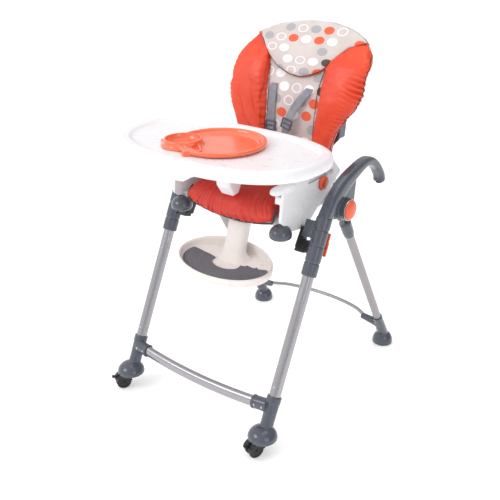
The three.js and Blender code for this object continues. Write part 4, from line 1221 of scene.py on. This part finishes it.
piping("flap_piping", flap_edge(-1), 0.9, "piping", "backrest")
piping("flap_lining", flap_edge(4.0), 1.2, "orange_piping", "backrest")
tops = [z for z in COVER_Z if z >= FLAP_OPEN]
top_edge = [(cover_edge(z, 1), z) for z in tops] + [(-cover_edge(z, -1), z) for z in tops[::-1]]
piping("top_piping", [on_back(x, z + 1, -4) for x, z in smooth_line(top_edge, 90)], 1.0, "piping", "backrest")
for side, way in SIDES.items():
    inner = [on_back(way * (wing_inner(z, way) + 0.5), z, -6.0) for z in np.linspace(650, 930, 60)]
    piping(f"wing_piping_{side}", inner, 1.0, "piping", "backrest")
    points, edge = mesh_points(wings[side]), []
    for z in np.arange(690, 985, 3.0):
        near = points[np.abs(points[:, 2] - z) < 2.5]
        edge.append(near[np.argmax(near[:, 0] * way)])
    edge = np.array(edge)
    edge[1:-1] = (edge[:-2] + edge[1:-1] * 2 + edge[2:]) / 4
    piping(f"wing_back_piping_{side}", edge, 1.3, "piping", "backrest")


# ------------------------------------------------------------------ seat cushion
SEAT_HALF, SEAT_END, SEAT_SAG = 149, 14, 21  # half the width, the rounding of its ends, their rise


def seat_sag(x):
    """How much higher the roll's lower edge lies at x than in the middle."""
    return SEAT_SAG * (abs(x) / SEAT_HALF) ** 2.2


def seat_ring(x):
    sag = seat_sag(x)
    fall = 3.0 * (abs(x) / SEAT_HALF) ** 6
    loop = [(92, 606), (95, 620), (88, 636 - fall), (50, 642 - fall), (-60, 643 - fall), (-118, 640 - fall),
            (-152, 630), (-171, 613), (-177, 594 + 0.4 * sag), (-173, 577 + 0.9 * sag), (-163, 566 + sag),
            (-153, 571 + sag), (-150, 588 + 0.4 * sag), (-143, 600), (-100, 603), (0, 604)]
    loop = np.array(loop + loop[:3], float)
    return smooth_line(loop, 3 + 15 * 6 + 1)[6:6 + 96]


def seat_cushion():
    spine = np.array([(80, 622), (-135, 620), (-162, 603), (-162, 590)], float)
    fine = np.vstack([np.linspace(a, b, 40) for a, b in zip(spine[:-1], spine[1:])])
    rings = []
    edge = SEAT_END * (1 - np.cos(np.linspace(0, math.pi / 2, 9)))
    for x in np.concatenate([-SEAT_HALF + edge, np.linspace(-131, 131, 76),
                             SEAT_HALF - SEAT_END * (1 - np.cos(np.linspace(math.pi / 2, 0, 9)))]):
        ring = seat_ring(x)
        over = max(0.0, (abs(x) - (SEAT_HALF - SEAT_END)) / SEAT_END)
        shrink = math.sqrt(max(0.02, 1 - over ** 2))
        near = np.array([fine[np.argmin(np.linalg.norm(fine - p, axis=1))] for p in ring])
        ring = near + (ring - near) * (0.25 + 0.75 * shrink)
        rings.append([(x, y, z) for y, z in ring])
    return loft(rings)


def seat_folds(points):
    """Gathers that fan down the front roll from the crotch strap, deepest along its sewn edge."""
    x, y, z = points.T
    front = np.clip((-112 - y) / 26, 0, 1) * np.clip((148 - np.abs(x)) / 14, 0, 1)
    down = np.clip((640 - z) / 70, 0, 1)
    spread = x / (0.74 + 0.26 * down)
    flat = np.stack([spread, y * 0.2, z * 0.3], 1)
    fan = 0.62 * np.sin(2 * math.pi * spread / 13.5 + 3.6 * bumpy(flat, 42, 31))
    fan += 0.62 * np.sin(2 * math.pi * spread / 24 + 3.0 * bumpy(flat, 60, 32) + 0.3 * z / 30)
    pleat = fan - 0.9 * np.clip(-fan, 0, 1) ** 3
    strong = (0.25 + 0.75 * down) * np.clip(0.75 + 0.9 * bumpy(points, 50, 33), 0.1, 1.5)
    top = np.clip((y + 120) / 60, 0, 1) * np.clip((z - 628) / 8, 0, 1)
    quilt = -2.2 * np.exp(-((np.abs(x) - 78) / 3.5) ** 2) * top
    loose = 1.3 * bumpy(points, 38, 35) + 0.5 * bumpy(points, 16, 36)
    return front * 2.3 * pleat * strong + quilt + loose


# the cushion takes the darker leatherette copy, painted shade from the tray above it
seat_pad = padded_piece("seat_cushion", seat_cushion(), "seat_shade_leather", "seat", ("seat_pad",))
swell(seat_pad, 5.0, 3.0, 5)
refine(seat_pad, 1)
push(seat_pad, seat_folds)


def seat_seam():
    low = [(x, -163, 565.4 + seat_sag(x)) for x in np.linspace(-136, 136, 60)]
    right = [(143, -164, 585), (148.5, -165, 592), (150, -166, 602), (149, -160, 616), (147, -148, 626)]
    return [(-x, y, z) for x, y, z in right[::-1]] + low + right


piping("seat_piping", smooth_line(seat_seam(), 160), 3.0, "piping", "seat")


# ------------------------------------------------------------------ harness
STRAP_WIDTH, STRAP_THICK, STRAP_STEPS = 25, 1.7, 70


def strap(name, path, body, side=(1, 0, 0)):
    """The look of a flat woven strap along a path; side is the way its width lies."""
    path = smooth_line(path, STRAP_STEPS)
    lengths = line_lengths(path)
    shape = tube([tuple(p) for p in path], superellipse(STRAP_WIDTH / 2, STRAP_THICK / 2, 5, 24), side=side)
    piece = make(f"{name}_look", shape, "strap", body, (name,), smooth=60)
    points = mesh_points(piece)
    near = np.array([np.argmin(np.linalg.norm(path - q, axis=1)) for q in points])
    offset = (points - path[near]) @ np.array(side, float)
    print_on(piece, offset * MM, lengths[near] * MM)


# The left shoulder strap lies on the back as [x, z, behind], the right one hangs slack.
LEFT_STRAP = [(-61, 884, 3), (-61, 876, -5), (-61, 850, -9), (-60.5, 810, -8), (-60.5, 775, -7.5),
              (-60.5, 740, -7), (-60.5, 700, -6), (-60.5, 655, -5)]
RIGHT_STRAP = [on_back(62, 884, 5), on_back(59, 875, -5), (47, 114, 856), (31, 106, 833), (17, 98, 802),
               (9, 91, 775), (5, 90, 740), (7, 91, 705), (16, 82, 670), (20, 56, 652), (12, 0, 652)]
strap("shoulder_strap_left", [on_back(*place) for place in LEFT_STRAP], "backrest")
strap("shoulder_strap_right", RIGHT_STRAP, "backrest")
for side, way in SIDES.items():
    waist = [(way * 150, 84, 640), (way * 140, 74, 648), (way * 85, 30, 648), (way * 20, -18, 651)]
    strap(f"waist_strap_{side}", waist, "seat", side=(0, 1, 0))
strap("crotch_strap", [(0, -30, 651), (0, -60, 648), (0, -92, 647), (0, -106, 636)], "seat")


def adjuster(place, along, face):
    """A ladder-lock slide: two side rails and three bars, the strap running through it."""
    v, w = Vector(along).normalized(), Vector(face).normalized()
    u = v.cross(w).normalized()
    at = Vector(place)
    rails = [tube([at + u * s * 15.6 - v * 15, at + u * s * 15.6 + v * 15],
                  superellipse(2.6, 2.4, 3, 20), side=u) for s in (-1, 1)]
    bars = [tube([at - u * 15 + v * h + w * lift, at + u * 15 + v * h + w * lift],
                 superellipse(thick, 2.0, 3, 20), side=v)
            for h, thick, lift in ((-13, 2.6, 0), (0.5, 2.4, 1.6), (13, 2.8, 0))]
    return rails + bars


fused("strap_adjuster_left_look", adjuster(on_back(-60.5, 759, -9.2), (0, 0.06, 1), (0, -1, 0.06)), "grey",
      "backrest", ("strap_adjuster_left",), 0.6, 2)
fused("strap_adjuster_right_look", adjuster((9.5, 89.8, 778), (0.24, 0.1, 0.95), (0, -1, 0.1)), "grey",
      "backrest", ("strap_adjuster_right",), 0.6, 2)
buckle = [lathe(rounded([(0, 0), (19, 0), (20.5, 3), (19, 8.6), (12, 10.4), (0, 10.8)], 1.4), (0, -22, 646.5),
                UP, 48),
          box((-13, -46, 647), (13, -30, 653)), shifted(box((-34, -8, -3), (34, 8, 3)), (0, -18, 650.4))]
fused("harness_buckle_look", buckle, "grey", "seat", ("harness_buckle",), 0.8, 3)
button = lathe(rounded([(0, 0), (8.4, 0), (8.2, 1.6), (0, 2.4)], 0.6), (0, -22, 657), UP, 32)
make("buckle_button", button, "orange", "seat")


# ------------------------------------------------------------------ CAD pieces that stay in view
SLOT_OF = {row["node"]: row["material_slot"] for row in frame["record"]["subparts"]}
for node, held in frame["nodes"].items():
    held.data.materials.clear()
    look = next(look for look, slot in SLOTS.items() if slot == SLOT_OF[node])
    held.data.materials.append(LOOKS[look])


# ------------------------------------------------------------------ floor and light
floor_mesh = bpy.data.meshes.new("floor")
FLOOR_HALF, FLOOR_Z = 12, -0.0006
corners = [(x * FLOOR_HALF, y * FLOOR_HALF, FLOOR_Z) for x, y in ((-1, -1), (1, -1), (1, 1), (-1, 1))]
floor_mesh.from_pydata(corners, [], [(0, 1, 2, 3)])
floor = add("floor", floor_mesh)
paper = Nodes("floor_paper")
paper.set(base_color=paper.mix(paper.noise(paper.where(), 3.0), (0.93, 0.93, 0.93, 1), (0.96, 0.96, 0.96, 1)),
          roughness=0.9, emission_color=(1, 1, 1, 1), emission_strength=0.3)
floor_mesh.materials.append(paper.material)
floor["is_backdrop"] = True

bpy.context.scene.world = bpy.data.worlds.new("studio")
studio = Nodes(bpy.context.scene.world, "Background")
toward = studio.new("ShaderNodeTexCoord").outputs["Generated"]
BRIGHT_SIDE = (-0.72, -0.50, 0.30)
across = studio.filled("ShaderNodeVectorMath", {0: toward, 1: BRIGHT_SIDE}, operation="DOT_PRODUCT")
wash = studio.span(across.outputs["Value"], -0.7, 0.7, 0.42, 1.22)
studio.set(color=studio.filled("ShaderNodeCombineXYZ", {0: wash, 1: wash, 2: wash}).outputs[0], strength=0.86)


def area_light(name, place, target, size, power):
    lamp = bpy.data.lights.new(name, "AREA")
    lamp.shape = "RECTANGLE"
    lamp.size, lamp.size_y = size
    lamp.energy = power
    holder = add(name, lamp)
    holder.location = place
    aim(holder, Vector(target) - Vector(place))


area_light("key", (-1.6, -2.6, 2.6), (0, 0, 0.6), (1.6, 1.2), 30)
area_light("fill", (2.8, -1.2, 1.6), (0, 0, 0.6), (1.4, 1.8), 14)
area_light("top", (0.2, 0.4, 3.2), (0, 0, 0.5), (2.0, 2.0), 18)
bpy.context.scene.view_settings.view_transform = "Standard"
bpy.context.scene.view_settings.look = "None"

low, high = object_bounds()
